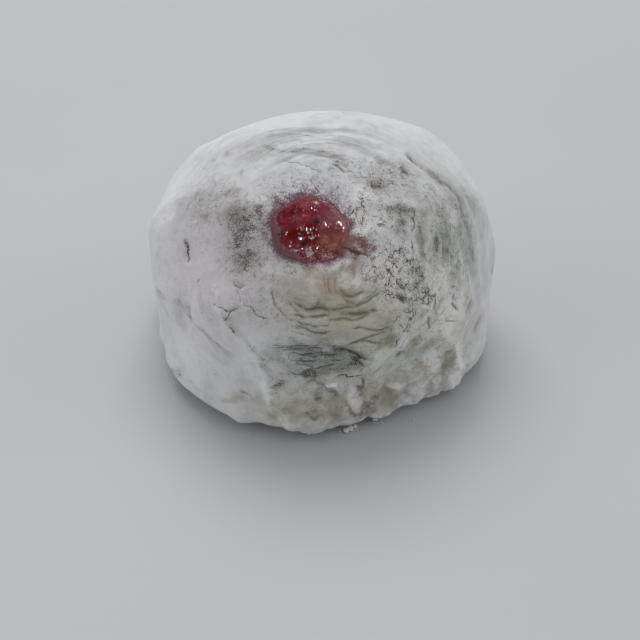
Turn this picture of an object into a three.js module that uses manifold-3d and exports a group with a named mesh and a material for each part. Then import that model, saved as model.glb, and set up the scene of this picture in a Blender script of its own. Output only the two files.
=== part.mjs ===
// A strawberry rice cake: a soft dome of pounded rice, hand-shaped round one whole strawberry and dusted
// with starch. The skin is drawn so thin over the berry that it has torn high on the front, and the wet
// fruit shows. Millimetres, +Z up, front towards -Y, origin in the middle of the foot that it rests on.
// A place on the cake is an azimuth in degrees from the front, growing to the right, and a height.

import * as THREE from 'three';
import { mergeVertices } from 'three/addons/utils/BufferGeometryUtils.js';
import Module from 'manifold-3d';

const DEGREE = Math.PI / 180;

// The smooth dome: an upper and a lower half-oval that meet at the waist, cut off flat at the foot.
const HEIGHT = 35.5;
const WAIST_HEIGHT = 11;
const WAIST_RADIUS = 24.2;
const CROWN_POWER = 2.26; // 2 is an ellipse, and more is boxier
const FOOT_POWER = 7.25;
const FOOT_DEPTH = 1.02 * WAIST_HEIGHT; // where the lower oval would end if the foot weren't flat
const CROWN_LEAN = new THREE.Vector2(0.6, -2.2); // how far the crown sits off the middle of the foot
const DOME_MIDDLE = new THREE.Vector2(0.24, -1.44); // the middle of the leaning dome's box

// The outline isn't round: waves about the upright axis, in mm, with the direction that each swells to.
const OUTLINE_WAVES = [
  { count: 2, swell: 0.99, towards: 27.3 },
  { count: 3, swell: 1.09, towards: 87.1 },
];
const FOOT_WAVES = [
  { count: 4, swell: 1.11, towards: -113.9 },
  { count: 5, swell: 0.47, towards: -12.6 },
  { count: 6, swell: 0.46, towards: 164.9 },
];
const FOOT_WAVE_SHARPNESS = 8; // how quickly the foot's own waves fade above the waist

// Columns round the skin and rows down it. The flat foot takes the last rows.
const SKIN_COLUMNS = 110;
const CROWN_ROWS = 18;
const WALL_ROWS = 15;
const BASE_ROWS = 2;

// Folds of the skin along routes on the dome. A ridge rises, a groove has a negative rise, and a lapped
// edge is a sheet that stands proud on one side of its route and dies away from it.
const FOLDS = [
  {
    form: 'ridge',
    rise: 0.5,
    width: 1.9,
    route: [[-47, 30], [-30, 31.7], [-12, 33.4], [5, 33.1], [16, 32.2], [39, 30.4]],
  },
  {
    form: 'ridge',
    rise: 0.45,
    width: 1.2,
    route: [[-3, 26.4], [3, 26.4], [7, 27.2], [12, 27.4], [17, 26.6]],
  },
  {
    form: 'lap',
    rise: 0.65,
    width: 4.5,
    route: [[-34, 20], [-26, 16.4], [-22, 14.3], [-18, 11.7], [-16, 8.9], [-17, 4.5]],
  },
  {
    form: 'lap',
    rise: 0.4,
    width: 4,
    route: [[-80, 13.2], [-69, 13.5], [-52, 13.4], [-42, 12.4], [-31, 11], [-25, 9]],
  },
  { form: 'ridge', rise: 0.4, width: 1.8, route: [[-89, 19], [-84, 23.5], [-76, 27.2], [-66, 29.6]] },
  {
    form: 'ridge',
    rise: -0.55,
    width: 1.2,
    route: [[77, 33], [70, 30.5], [68, 27.7], [67, 25], [66, 22.5], [64, 14.6]],
  },
  { form: 'ridge', rise: -0.4, width: 1.2, route: [[89, 32], [82, 29], [78, 22.4], [70, 13.2]] },
  { form: 'ridge', rise: -0.35, width: 1.2, route: [[63, 30], [58, 27.7], [50, 22.7]] },
  { form: 'ridge', rise: 0.9, width: 1.4, route: [[45, 12.7], [51, 8.9], [57, 2]] },
  { form: 'ridge', rise: -0.5, width: 1.3, route: [[34, 18], [30, 13.7], [25, 11.5], [22, 8]] },
  {
    form: 'ridge',
    rise: -0.4,
    width: 1.2,
    route: [[-16, 15.3], [-6, 15.3], [2, 15.8], [9, 14.9], [16, 12.4]],
  },
  { form: 'ridge', rise: -0.3, width: 1.2, route: [[-10, 21.4], [4, 20.9], [22, 20.6]] },
  {
    form: 'ridge',
    rise: -0.45,
    width: 1.3,
    route: [[-19, 6.5], [-13, 9.3], [-2, 10.4], [12, 9.4], [24, 9.7]],
  },
  { form: 'ridge', rise: -0.4, width: 1.3, route: [[118, 31], [112, 24], [116, 15], [124, 8]] },
  { form: 'lap', rise: 0.5, width: 4, route: [[150, 27], [158, 19], [170, 12], [172, 5]] },
  { form: 'ridge', rise: -0.4, width: 1.3, route: [[-165, 30], [-150, 24], [-146, 14], [-152, 7]] },
  { form: 'lap', rise: 0.45, width: 4, route: [[-118, 28], [-112, 19], [-118, 10], [-122, 4]] },
];
const ROUTE_STEPS = 24;

// Soft lumps where the gathered edge of the skin was pressed under, all round the foot.
const LUMPS = { count: 60, spread: [1.3, 2.6], rise: [0.35, 1.1], height: [1.2, 9], sunk: 0.7, seed: 12 };
// Slow unevenness of the whole hand-shaped dome.
const UNEVEN = { count: 9, swell: 0.13, wavelength: [9, 19], seed: 31 };

// The strawberry lies on its side under the tear, its tip to the right and back.
const BERRY_MIDDLE = new THREE.Vector3(-0.8, -9.35, 22.35);
const BERRY_TIP_TOWARDS = new THREE.Vector3(0.95, 0.3, 0.15);
const BERRY_RADIUS = 10.2;
const BERRY_TIP_LENGTH = 15;
const BERRY_TIP_POWER = 1.75;
const BERRY_TOP_LENGTH = 9.5;
const BERRY_TOP_POWER = 2.7;
const BERRY_COLUMNS = 32;
const BERRY_ROWS = 20;
const BERRY_GAP = 0.5; // between the berry and the skin round it

// Seeds in staggered rings round the berry. A ring's place is along the length from the berry's middle.
const SEED = { length: 1.2, width: 0.85, proud: 0.2 };
const SEED_RINGS = { first: -7.6, last: 11.6, apart: 2.4, seeds: 14, turn: 19 };

// The tear: an uneven round, drawn out to the lower right.
const TEAR_PLACE = { azimuth: -5, height: 30.2 };
const TEAR_RADIUS = 4.95;
const TEAR_WAVES = [
  { count: 2, swell: 0.32, towards: -38 },
  { count: 5, swell: 0.17, towards: 60 },
  { count: 7, swell: 0.12, towards: 20 },
];
const TEAR_POINTS = 40;
const TEAR_CUT_LENGTH = 7; // reaches from inside the berry's hollow to the air

const wasm = await Module();
wasm.setup();

// A fixed list of even draws between 0 and 1, the same on every run.
function draws(count, seed) {
  let state = seed;
  return Array.from({ length: count }, () => {
    state = (state * 16807) % 2147483647;
    return state / 2147483647;
  });
}

function between([low, high], share) {
  return low + (high - low) * share;
}

function swellOf(waves, angle) {
  return waves.reduce((sum, w) => sum + w.swell * Math.cos(w.count * angle - w.towards * DEGREE), 0);
}

// How far the smooth dome reaches from the middle of its waist in a direction.
function reach(direction) {
  const around = Math.atan2(direction.y, direction.x);
  const level = Math.hypot(direction.x, direction.y);
  const low = 1 / (1 + Math.exp(FOOT_WAVE_SHARPNESS * (direction.z - 0.05)));
  const radius = WAIST_RADIUS + swellOf(OUTLINE_WAVES, around) + low * swellOf(FOOT_WAVES, around);
  const above = direction.z >= 0;
  const power = above ? CROWN_POWER : FOOT_POWER;
  const depth = above ? HEIGHT - WAIST_HEIGHT : FOOT_DEPTH;
  const oval = ((level / radius) ** power + (Math.abs(direction.z) / depth) ** power) ** (-1 / power);
  return above ? oval : Math.min(oval, WAIST_HEIGHT / -direction.z);
}

// The point of the dome in a direction, raised by some mm along it, with the crown's lean.
function domePoint(direction, raise = 0) {
  const point = direction.clone().multiplyScalar(reach(direction) + raise);
  point.z = Math.max(point.z + WAIST_HEIGHT, 0);
  point.x += (CROWN_LEAN.x * point.z) / HEIGHT - DOME_MIDDLE.x;
  point.y += (CROWN_LEAN.y * point.z) / HEIGHT - DOME_MIDDLE.y;
  return point;
}

function directionOf(azimuth, elevation) {
  const level = Math.cos(elevation);
  return new THREE.Vector3(Math.sin(azimuth) * level, -Math.cos(azimuth) * level, Math.sin(elevation));
}

// The point of the dome at an azimuth in degrees and a height, by halving the range of elevations.
function placeOnDome([azimuth, height]) {
  let low = -0.4 * Math.PI;
  let high = 0.5 * Math.PI;
  for (let step = 0; step < 30; step += 1) {
    const middle = (low + high) / 2;
    if (domePoint(directionOf(azimuth * DEGREE, middle)).z < height) low = middle;
    else high = middle;
  }
  return domePoint(directionOf(azimuth * DEGREE, low));
}

const routes = FOLDS.map((fold) => ({
  ...fold,
  points: new THREE.CatmullRomCurve3(fold.route.map(placeOnDome)).getPoints(ROUTE_STEPS),
}));

// A ridge or groove is a bell across its route. A lap stands up at once on the left of its route, as seen
// from outside walking along it, and dies away over its width.
function foldRelief(point, outward) {
  return routes.reduce((sum, { form, rise, width, points }) => {
    const distances = points.map((p) => p.distanceTo(point));
    const nearest = distances.indexOf(Math.min(...distances));
    const distance = distances[nearest];
    if (distance > 3 * width) return sum;
    if (form === 'ridge') return sum + rise * Math.exp(-((distance / width) ** 2) * 2);
    const next = points[Math.min(nearest + 1, ROUTE_STEPS)];
    const ahead = next.clone().sub(points[Math.max(nearest - 1, 0)]);
    const left = new THREE.Vector3().crossVectors(outward, ahead).normalize();
    const side = left.dot(point.clone().sub(points[nearest]));
    const pastEnd = Math.sqrt(Math.max(distance ** 2 - side ** 2, 0));
    const step = 1 / (1 + Math.exp(-side / 0.35));
    return sum + rise * step * Math.exp(-((side / width) ** 2) - (pastEnd / 2) ** 2);
  }, 0);
}

const lumpDraws = draws(LUMPS.count * 4, LUMPS.seed);
const lumps = Array.from({ length: LUMPS.count }, (_, i) => {
  const [along, up, wide, tall] = lumpDraws.slice(4 * i, 4 * i + 4);
  const azimuth = ((i + along) * 360) / LUMPS.count;
  return {
    middle: placeOnDome([azimuth, between(LUMPS.height, up * up)]),
    spread: between(LUMPS.spread, wide),
    rise: between(LUMPS.rise, tall),
  };
});

// Lumps stand on a band that is sunk a little, so that together they keep to the dome.
function lumpRelief(point) {
  const band = LUMPS.sunk / (1 + Math.exp((point.z - LUMPS.height[1]) / 1.2));
  return lumps.reduce((sum, { middle, spread, rise }) => {
    const share = point.distanceTo(middle) / spread;
    return share < 2 ? sum + rise * Math.exp(-1.5 * share * share) : sum;
  }, -band);
}

const unevenDraws = draws(UNEVEN.count * 4, UNEVEN.seed);
const unevenWaves = Array.from({ length: UNEVEN.count }, (_, i) => {
  const [turn, tilt, length, start] = unevenDraws.slice(4 * i, 4 * i + 4);
  const perMillimetre = (2 * Math.PI) / between(UNEVEN.wavelength, length);
  return {
    travel: directionOf(turn * 2 * Math.PI, (tilt - 0.5) * Math.PI).multiplyScalar(perMillimetre),
    start: start * 2 * Math.PI,
  };
});

function unevenRelief(point) {
  return unevenWaves.reduce((sum, w) => sum + UNEVEN.swell * Math.sin(w.travel.dot(point) + w.start), 0);
}

// The closed skin without its tear: a sphere's grid, its rows moved to the crown, the wall and the foot.
function uncutSkin() {
  const rows = CROWN_ROWS + WALL_ROWS + BASE_ROWS;
  const geometry = new THREE.SphereGeometry(1, SKIN_COLUMNS, rows);
  const { position, uv } = geometry.attributes;
  const footPowerShare = (1 - (WAIST_HEIGHT / FOOT_DEPTH) ** FOOT_POWER) ** (1 / FOOT_POWER);
  for (let i = 0; i < position.count; i += 1) {
    const azimuth = Math.round(uv.getX(i) * SKIN_COLUMNS) * ((2 * Math.PI) / SKIN_COLUMNS);
    const row = Math.round((1 - uv.getY(i)) * rows);
    const around = Math.atan2(-Math.cos(azimuth), Math.sin(azimuth));
    const lowRadius = WAIST_RADIUS + swellOf(OUTLINE_WAVES, around) + swellOf(FOOT_WAVES, around);
    const footElevation = -Math.atan2(WAIST_HEIGHT, footPowerShare * lowRadius);
    let point;
    if (row <= CROWN_ROWS) {
      point = skinPoint(directionOf(azimuth, (Math.PI / 2) * (1 - row / CROWN_ROWS)));
    } else {
      const down = Math.min((row - CROWN_ROWS) / WALL_ROWS, 1);
      point = skinPoint(directionOf(azimuth, footElevation * down));
      const inward = Math.max(row - CROWN_ROWS - WALL_ROWS, 0) / BASE_ROWS;
      if (down === 1) point.set(point.x * (1 - inward), point.y * (1 - inward), 0);
    }
    position.setXYZ(i, point.x, point.y, point.z);
  }
  return geometry;
}

function skinPoint(direction) {
  const smooth = domePoint(direction);
  const relief = foldRelief(smooth, direction) + lumpRelief(smooth) + unevenRelief(smooth);
  return domePoint(direction, relief);
}

// Half the outline of the berry, from its cut top to its tip, grown by a gap and turned about its length.
function berryGeometry(grown) {
  const profile = Array.from({ length: BERRY_ROWS + 1 }, (_, i) => {
    const turn = Math.PI * (i / BERRY_ROWS);
    const tipwards = turn > Math.PI / 2;
    const power = tipwards ? BERRY_TIP_POWER : BERRY_TOP_POWER;
    const length = (tipwards ? BERRY_TIP_LENGTH : BERRY_TOP_LENGTH) + grown;
    const across = Math.sin(turn) ** (2 / power);
    const along = Math.abs(Math.cos(turn)) ** (2 / power);
    const radius = i % BERRY_ROWS === 0 ? 0 : (BERRY_RADIUS + grown) * across;
    return new THREE.Vector2(radius, (tipwards ? 1 : -1) * length * along);
  });
  return new THREE.LatheGeometry(profile, BERRY_COLUMNS);
}

// Turns the Y axis, which a lathe turns about, to the berry's length, and moves it to the berry's middle.
const latheAxis = new THREE.Vector3(0, 1, 0);
const berryPlacement = new THREE.Matrix4().compose(
  BERRY_MIDDLE,
  new THREE.Quaternion().setFromUnitVectors(latheAxis, BERRY_TIP_TOWARDS.clone().normalize()),
  new THREE.Vector3(1, 1, 1),
);

// Each seed is a flat eight-sided drop, half sunk in the berry and lying along it.
function seedGeometries() {
  const rings = Math.round((SEED_RINGS.last - SEED_RINGS.first) / SEED_RINGS.apart) + 1;
  return Array.from({ length: rings * SEED_RINGS.seeds }, (_, i) => {
    const ring = Math.floor(i / SEED_RINGS.seeds);
    const along = SEED_RINGS.first + ring * SEED_RINGS.apart;
    const step = (i % SEED_RINGS.seeds) + (ring % 2) / 2;
    const seed = new THREE.OctahedronGeometry(0.5);
    seed.scale(SEED.width, SEED.length, SEED.proud * 2);
    seed.translate(0, 0, berryRadiusAt(along) - SEED.proud * 0.1);
    seed.rotateY(SEED_RINGS.turn * DEGREE + (step * 2 * Math.PI) / SEED_RINGS.seeds);
    seed.translate(0, along, 0);
    return seed.applyMatrix4(berryPlacement);
  });
}

function berryRadiusAt(along) {
  const tipwards = along > 0;
  const power = tipwards ? BERRY_TIP_POWER : BERRY_TOP_POWER;
  const share = Math.abs(along) / (tipwards ? BERRY_TIP_LENGTH : BERRY_TOP_LENGTH);
  return BERRY_RADIUS * (1 - share ** power) ** (1 / power);
}

// A closed wavy column along the tear's outward direction.
function tearCutter(outward) {
  const outline = new THREE.Shape(
    Array.from({ length: TEAR_POINTS }, (_, i) => {
      const angle = (i * 2 * Math.PI) / TEAR_POINTS;
      const radius = TEAR_RADIUS + swellOf(TEAR_WAVES, angle);
      return new THREE.Vector2(radius * Math.cos(angle), radius * Math.sin(angle));
    }),
  );
  const column = new THREE.ExtrudeGeometry(outline, { depth: TEAR_CUT_LENGTH, bevelEnabled: false });
  const right = new THREE.Vector3().crossVectors(new THREE.Vector3(0, 0, 1), outward).normalize();
  const up = new THREE.Vector3().crossVectors(outward, right);
  const frame = new THREE.Matrix4().makeBasis(right, up, outward);
  frame.setPosition(tearPoint.clone().addScaledVector(outward, -TEAR_CUT_LENGTH / 2));
  return column.applyMatrix4(frame);
}

function solidOf(geometry) {
  const bare = geometry.clone().deleteAttribute('normal').deleteAttribute('uv');
  const merged = mergeVertices(bare, 1e-4);
  const mesh = new wasm.Mesh({
    numProp: 3,
    vertProperties: merged.attributes.position.array,
    triVerts: new Uint32Array(merged.index.array),
  });
  return new wasm.Manifold(mesh);
}

function geometryOf(solid) {
  const { vertProperties, triVerts } = solid.getMesh();
  const geometry = new THREE.BufferGeometry();
  geometry.setAttribute('position', new THREE.BufferAttribute(vertProperties, 3));
  geometry.setIndex(new THREE.BufferAttribute(triVerts, 1));
  geometry.computeVertexNormals();
  return geometry;
}

function named(name, geometry, material) {
  const mesh = new THREE.Mesh(geometry, material);
  mesh.name = name;
  return mesh;
}

const starchedSkin = new THREE.MeshStandardMaterial({ color: 0xd6d5d3, roughness: 0.92, metalness: 0 });
const wetFruit = new THREE.MeshStandardMaterial({ color: 0x9c1622, roughness: 0.18, metalness: 0 });

const tearPoint = placeOnDome([TEAR_PLACE.azimuth, TEAR_PLACE.height]);
const tearOutward = tearPoint.clone().sub(BERRY_MIDDLE).normalize();
const berryRoom = solidOf(berryGeometry(BERRY_GAP).applyMatrix4(berryPlacement));
const hollow = berryRoom.add(solidOf(tearCutter(tearOutward)));
const skin = solidOf(uncutSkin()).subtract(hollow);
const berry = seedGeometries().reduce(
  (whole, seed) => whole.add(solidOf(seed)),
  solidOf(berryGeometry(0).applyMatrix4(berryPlacement)),
);

const cake = new THREE.Group();
cake.add(named('mochi', geometryOf(skin), starchedSkin));
cake.add(named('strawberry', geometryOf(berry), wetFruit));

export default cake;
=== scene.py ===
"""A strawberry rice cake: a starch-dusted dome of pounded rice, torn high in front over a wet strawberry.

All shapes are worked out in millimetres and put into the meshes in metres. +Z is up, the front looks
towards -Y, and the origin is the middle of the foot. A spot on the cake is named in two ways:
  a place is an azimuth in degrees from the front, growing to the right, and a height in mm;
  a mark is two angles in degrees from the middle of the face, one to the right and one up. On the skin a
  degree is about 0.44 mm.
"""

import functools

import bpy
import numpy as np
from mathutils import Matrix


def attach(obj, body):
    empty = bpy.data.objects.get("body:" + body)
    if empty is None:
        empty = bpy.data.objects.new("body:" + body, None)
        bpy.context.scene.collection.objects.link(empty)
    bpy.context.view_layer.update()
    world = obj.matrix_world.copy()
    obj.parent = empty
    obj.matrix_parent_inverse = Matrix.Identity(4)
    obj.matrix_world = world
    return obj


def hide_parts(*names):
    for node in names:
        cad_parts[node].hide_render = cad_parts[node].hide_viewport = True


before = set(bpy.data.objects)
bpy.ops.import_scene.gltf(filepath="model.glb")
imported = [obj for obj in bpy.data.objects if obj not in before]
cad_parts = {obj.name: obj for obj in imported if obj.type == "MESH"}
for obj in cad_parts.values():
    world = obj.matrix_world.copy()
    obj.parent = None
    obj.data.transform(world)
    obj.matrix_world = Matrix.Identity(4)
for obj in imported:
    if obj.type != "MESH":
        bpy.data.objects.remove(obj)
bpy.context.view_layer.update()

MM = 0.001
UP = np.array([0.0, 0.0, 1.0])

# The smooth dome: an upper and a lower half-oval that meet at the waist, cut off flat at the foot.
HEIGHT = 35.5
WAIST_HEIGHT = 11.0
WAIST_RADIUS = 24.2
CROWN_POWER = 2.26
FOOT_POWER = 7.25
FOOT_DEPTH = 1.02 * WAIST_HEIGHT
CROWN_LEAN = np.array([0.6, -2.2])
DOME_MIDDLE = np.array([0.24, -1.44])
# Waves of the outline about the upright axis: count, swell in mm, and the direction that it swells to.
OUTLINE_WAVES = [(2, 0.99, 27.3), (3, 1.09, 87.1)]
FOOT_WAVES = [(4, 1.11, -113.9), (5, 0.47, -12.6), (6, 0.46, 164.9)]
FOOT_WAVE_SHARPNESS = 8

# Folds of the skin: form, rise, width, and the places along the route.
FOLDS = [
    ("ridge", 0.5, 1.9, [(-47, 30), (-30, 31.7), (-12, 33.4), (5, 33.1), (16, 32.2), (39, 30.4)]),
    ("ridge", 0.45, 1.2, [(-3, 26.4), (3, 26.4), (7, 27.2), (12, 27.4), (17, 26.6)]),
    ("lap", 0.65, 4.5, [(-34, 20), (-26, 16.4), (-22, 14.3), (-18, 11.7), (-16, 8.9), (-17, 4.5)]),
    ("lap", 0.4, 4, [(-80, 13.2), (-69, 13.5), (-52, 13.4), (-42, 12.4), (-31, 11), (-25, 9)]),
    ("ridge", 0.4, 1.8, [(-89, 19), (-84, 23.5), (-76, 27.2), (-66, 29.6)]),
    ("ridge", -0.55, 1.2, [(77, 33), (70, 30.5), (68, 27.7), (67, 25), (66, 22.5), (64, 14.6)]),
    ("ridge", -0.4, 1.2, [(89, 32), (82, 29), (78, 22.4), (70, 13.2)]),
    ("ridge", -0.35, 1.2, [(63, 30), (58, 27.7), (50, 22.7)]),
    ("ridge", 0.8, 1.4, [(45, 12.7), (50, 9.4), (54, 5.5)]),
    ("ridge", -0.5, 1.3, [(34, 18), (30, 13.7), (25, 11.5), (22, 8)]),
    ("ridge", -0.4, 1.2, [(-16, 15.3), (-6, 15.3), (2, 15.8), (9, 14.9), (16, 12.4)]),
    ("ridge", -0.3, 1.2, [(-10, 21.4), (4, 20.9), (22, 20.6)]),
    ("ridge", -0.45, 1.3, [(-19, 6.5), (-13, 9.3), (-2, 10.4), (12, 9.4), (24, 9.7)]),
    ("ridge", -0.4, 1.3, [(118, 31), (112, 24), (116, 15), (124, 8)]),
    ("lap", 0.5, 4, [(150, 27), (158, 19), (170, 12), (172, 5)]),
    ("ridge", -0.4, 1.3, [(-165, 30), (-150, 24), (-146, 14), (-152, 7)]),
    ("lap", 0.45, 4, [(-118, 28), (-112, 19), (-118, 10), (-122, 4)]),
]
LAP_EDGE = 0.2  # how soft the step of a lapped edge is
LAP_END = 2.0  # how soon a lapped edge dies away past its ends
FOLD_STEPS, LINE_STEPS = 6, 4  # of a smooth line, from one of its places or marks to the next

# Lumps pressed under round the foot, on a band that is sunk a little and fades out upwards.
LUMPS = dict(count=60, spread=(1.3, 2.6), rise=(0.35, 1.1), height=(1.2, 9), steep=1.5, seed=12)
LUMP_BAND = dict(sunk=0.7, fade=1.2)
UNEVEN = dict(count=9, swell=0.13, wavelength=(9, 19), seed=31)
DEEPEST = -1.6  # of all the relief

# The strawberry lies on its side under the tear, its tip to the right and back.
BERRY_MIDDLE = np.array([-0.8, -9.35, 22.35])
BERRY_TIP_TOWARDS = np.array([0.95, 0.3, 0.15])
BERRY_RADIUS = 10.2
BERRY_TIP = (15, 1.75)  # length and power of the half towards the tip
BERRY_TOP = (9.5, 2.7)
BERRY_GAP = 0.5
SEED = dict(length=1.2, width=0.85, proud=0.2)
SEED_RINGS = dict(first=-7.6, last=11.6, apart=2.4, seeds=14, turn=19)

TEAR_PLACE = (-5, 30.2)
TEAR_RADIUS = 4.95
TEAR_WAVES = [(2, 0.32, -38), (5, 0.17, 60), (7, 0.12, 20)]
TEAR_JITTER = 0.22
# Values round the tear, by the angle from the right.
TEAR_ANGLES = [-180, -150, -120, -75, -45, -25, 0, 45, 90, 135, 180]
SINK_WIDTH = [4.0, 3.8, 2.8, 1.6, 0.7, 0.8, 2.6, 4.0, 4.6, 4.6, 4.0]  # mm in which the skin sinks down
JUICE_WIDTH = [2.0, 1.9, 1.7, 1.2, 0.9, 3.6, 1.6, 2.6, 2.9, 2.9, 2.0]  # mm that juice has gone into the skin
JUICE_DEPTH = [1.0, 0.9, 0.85, 0.8, 0.85, 1.15, 0.85, 0.8, 0.95, 1.0, 1.0]  # how full the torn edge is of it
RIM_WIDTH = [1.6, 1.3, 1.0, 0.5, 0.3, 0.3, 0.9, 1.3, 0.8, 1.0, 1.6]  # mm of the berry's own mauve rim
RIM_DUST = [0.4, 0.4, 0.4, 0.8, 1.1, 0.6, 0.9, 1.2, 1.0, 0.8, 0.5]  # how much powder lies on the rim
EDGE_PROUD = 0.04  # how thick the skin's torn edge is where it meets the berry

# The middle of the face, which the marks and the flow of the skin run round.
FACE_AZIMUTH, FACE_ELEVATION = np.radians(2), np.radians(40)


def linear(hex_colour):
    """The linear colour of an sRGB hex value."""
    channels = np.array([int(hex_colour[i : i + 2], 16) for i in (0, 2, 4)]) / 255
    curved = np.where(channels <= 0.04045, channels / 12.92, ((channels + 0.055) / 1.055) ** 2.4)
    return (*curved.tolist(), 1.0)


def unit(vectors):
    return vectors / np.linalg.norm(vectors, axis=-1, keepdims=True)


def dot(a, b):
    return (a * b).sum(-1)


def smooth(low, high, value):
    """0 below low, 1 above high, and 3t^2 - 2t^3 between them."""
    t = np.clip((value - low) / (high - low), 0, 1)
    return t * t * (3 - 2 * t)


def draws(count, seed):
    """Even draws between 0 and 1, the same on every run: each state is the last * 16807, modulo 2^31 - 1."""
    state, found = seed, []
    for _ in range(count):
        state = state * 16807 % 2147483647
        found.append(state / 2147483647)
    return np.array(found)


def between(limits, share):
    return limits[0] + (limits[1] - limits[0]) * share


def cloud(points, size, seed, octaves=1):
    """Soft noise between -1 and 1: fixed values at the corners of cubes of this size in mm, blended across
    each cube by 6t^5 - 15t^4 + 10t^3. Each further octave is half as large and half as strong."""
    total, strength = np.zeros(points.shape[:-1]), 0.0
    for octave in range(octaves):
        scaled = points * (2**octave / size) + 17.3 * (seed + octave)
        corner = np.floor(scaled).astype(np.int64)
        t = scaled - corner
        t = t * t * t * (t * (t * 6 - 15) + 10)
        for step in np.ndindex(2, 2, 2):
            at = corner + step
            mixed = (at * (374761393, 668265263, 1442695041)).sum(-1) + seed * 974711
            mixed = (mixed ^ (mixed >> 13)) * 1274126177
            value = ((mixed ^ (mixed >> 16)) & 0xFFFF) / 32767.5 - 1
            share = np.where(step, t, 1 - t).prod(-1)
            total += value * share * 0.5**octave
        strength += 0.5**octave
    return total / strength


def swell_of(waves, angle):
    return sum(swell * np.cos(count * angle - np.radians(towards)) for count, swell, towards in waves)


def oval_reach(d):
    """How far the dome reaches in unit directions from the middle of its waist, before its foot is cut flat:
    ((level / radius)^n + (upright / depth)^n)^(-1/n), with the radius waving about the upright axis."""
    around = np.arctan2(d[..., 1], d[..., 0])
    level = np.hypot(d[..., 0], d[..., 1])
    low = 1 / (1 + np.exp(FOOT_WAVE_SHARPNESS * (d[..., 2] - 0.05)))
    radius = WAIST_RADIUS + swell_of(OUTLINE_WAVES, around) + low * swell_of(FOOT_WAVES, around)
    above = d[..., 2] >= 0
    power = np.where(above, CROWN_POWER, FOOT_POWER)
    depth = np.where(above, HEIGHT - WAIST_HEIGHT, FOOT_DEPTH)
    return ((level / radius) ** power + (np.abs(d[..., 2]) / depth) ** power) ** (-1 / power)


def dome_point(d, raised=0.0):
    """The dome's point in a direction, raised by some mm along it, with the crown's lean."""
    reach = oval_reach(d)
    floor = WAIST_HEIGHT / np.maximum(-d[..., 2], 1e-6)
    reach = np.where(d[..., 2] < 0, np.minimum(reach, floor), reach)
    point = d * (reach + raised)[..., None]
    z = np.maximum(point[..., 2] + WAIST_HEIGHT, 0)
    level = point[..., :2] + CROWN_LEAN * z[..., None] / HEIGHT - DOME_MIDDLE
    return np.concatenate([level, z[..., None]], -1)


def in_dome(points):
    """Whether points lie inside the smooth dome."""
    level = points[..., :2] - CROWN_LEAN * points[..., 2:] / HEIGHT + DOME_MIDDLE
    offset = np.concatenate([level, points[..., 2:] - WAIST_HEIGHT], -1)
    return np.linalg.norm(offset, axis=-1) < oval_reach(unit(offset))


def direction_of(azimuth, elevation):
    level = np.cos(elevation)
    return np.stack([np.sin(azimuth) * level, -np.cos(azimuth) * level, np.sin(elevation)], -1)


def halved(low, high, is_below, halvings=40):
    """The values between two arrays where is_below turns false, by halving the range."""
    for _ in range(halvings):
        middle = (low + high) / 2
        below = is_below(middle)
        low, high = np.where(below, middle, low), np.where(below, high, middle)
    return low


def place_direction(places):
    """The directions from the middle of the waist to places of azimuth and height."""
    azimuth, height = np.radians(np.array(places, float)[..., 0]), np.array(places, float)[..., 1]
    low, high = np.full(azimuth.shape, -0.4 * np.pi), np.full(azimuth.shape, 0.5 * np.pi)
    elevation = halved(low, high, lambda e: dome_point(direction_of(azimuth, e))[..., 2] < height)
    return direction_of(azimuth, elevation)


FACE = direction_of(FACE_AZIMUTH, FACE_ELEVATION)
FACE_RIGHT = unit(np.cross(UP, FACE))
FACE_UP = np.cross(FACE, FACE_RIGHT)


def mark_direction(marks):
    """The directions of marks: away from the middle of the face by the length of their two angles."""
    angles = np.radians(np.array(marks, float))
    away = np.maximum(np.linalg.norm(angles, axis=-1), 1e-9)[..., None]
    across = (angles[..., :1] * FACE_RIGHT + angles[..., 1:] * FACE_UP) / away
    return np.cos(away) * FACE + np.sin(away) * across


def mark_of(d):
    """The two angles in degrees of directions, the other way round."""
    right, up = dot(d, FACE_RIGHT), dot(d, FACE_UP)
    away = np.degrees(np.arccos(np.clip(dot(d, FACE), -1, 1)))
    level = np.maximum(np.hypot(right, up), 1e-9)
    return np.stack([away * right / level, away * up / level], -1)


def through(route, steps):
    """A smooth line through the rows of an array: a Catmull-Rom curve with steps from row to row."""
    route = np.array(route, float)
    if len(route) == 2:
        return route[0] + (route[1] - route[0]) * np.linspace(0, 1, steps + 1)[:, None]
    padded = np.concatenate([2 * route[:1] - route[1:2], route, 2 * route[-1:] - route[-2:-1]])
    t = np.linspace(0, 1, steps, endpoint=False)[:, None]
    p0, p1, p2, p3 = (padded[i : len(padded) - 3 + i, None] for i in range(4))
    squared, cubed = (2 * p0 - 5 * p1 + 4 * p2 - p3) * t**2, (3 * p1 - p0 - 3 * p2 + p3) * t**3
    curve = 0.5 * (2 * p1 + (p2 - p0) * t + squared + cubed)
    return np.concatenate([curve.reshape(-1, route.shape[1]), route[-1:]])


def nearest_on(line, points):
    """For each point: the step to it from the nearest place on a line, the line's direction there, how far
    along the line that is, and the line's length."""
    best = np.full(len(points), np.inf)
    offset, ahead, travelled = np.zeros(points.shape), np.zeros(points.shape), np.zeros(len(points))
    done = 0.0
    for start, end in zip(line[:-1], line[1:]):
        length = np.linalg.norm(end - start)
        forward = (end - start) / length
        share = np.clip((points - start) @ forward, 0, length)
        step = points - start - share[:, None] * forward
        distance = np.linalg.norm(step, axis=1)
        closer = distance < best
        best = np.where(closer, distance, best)
        offset[closer], ahead[closer], travelled[closer] = step[closer], forward, done + share[closer]
        done += length
    return offset, ahead, travelled, done


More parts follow.
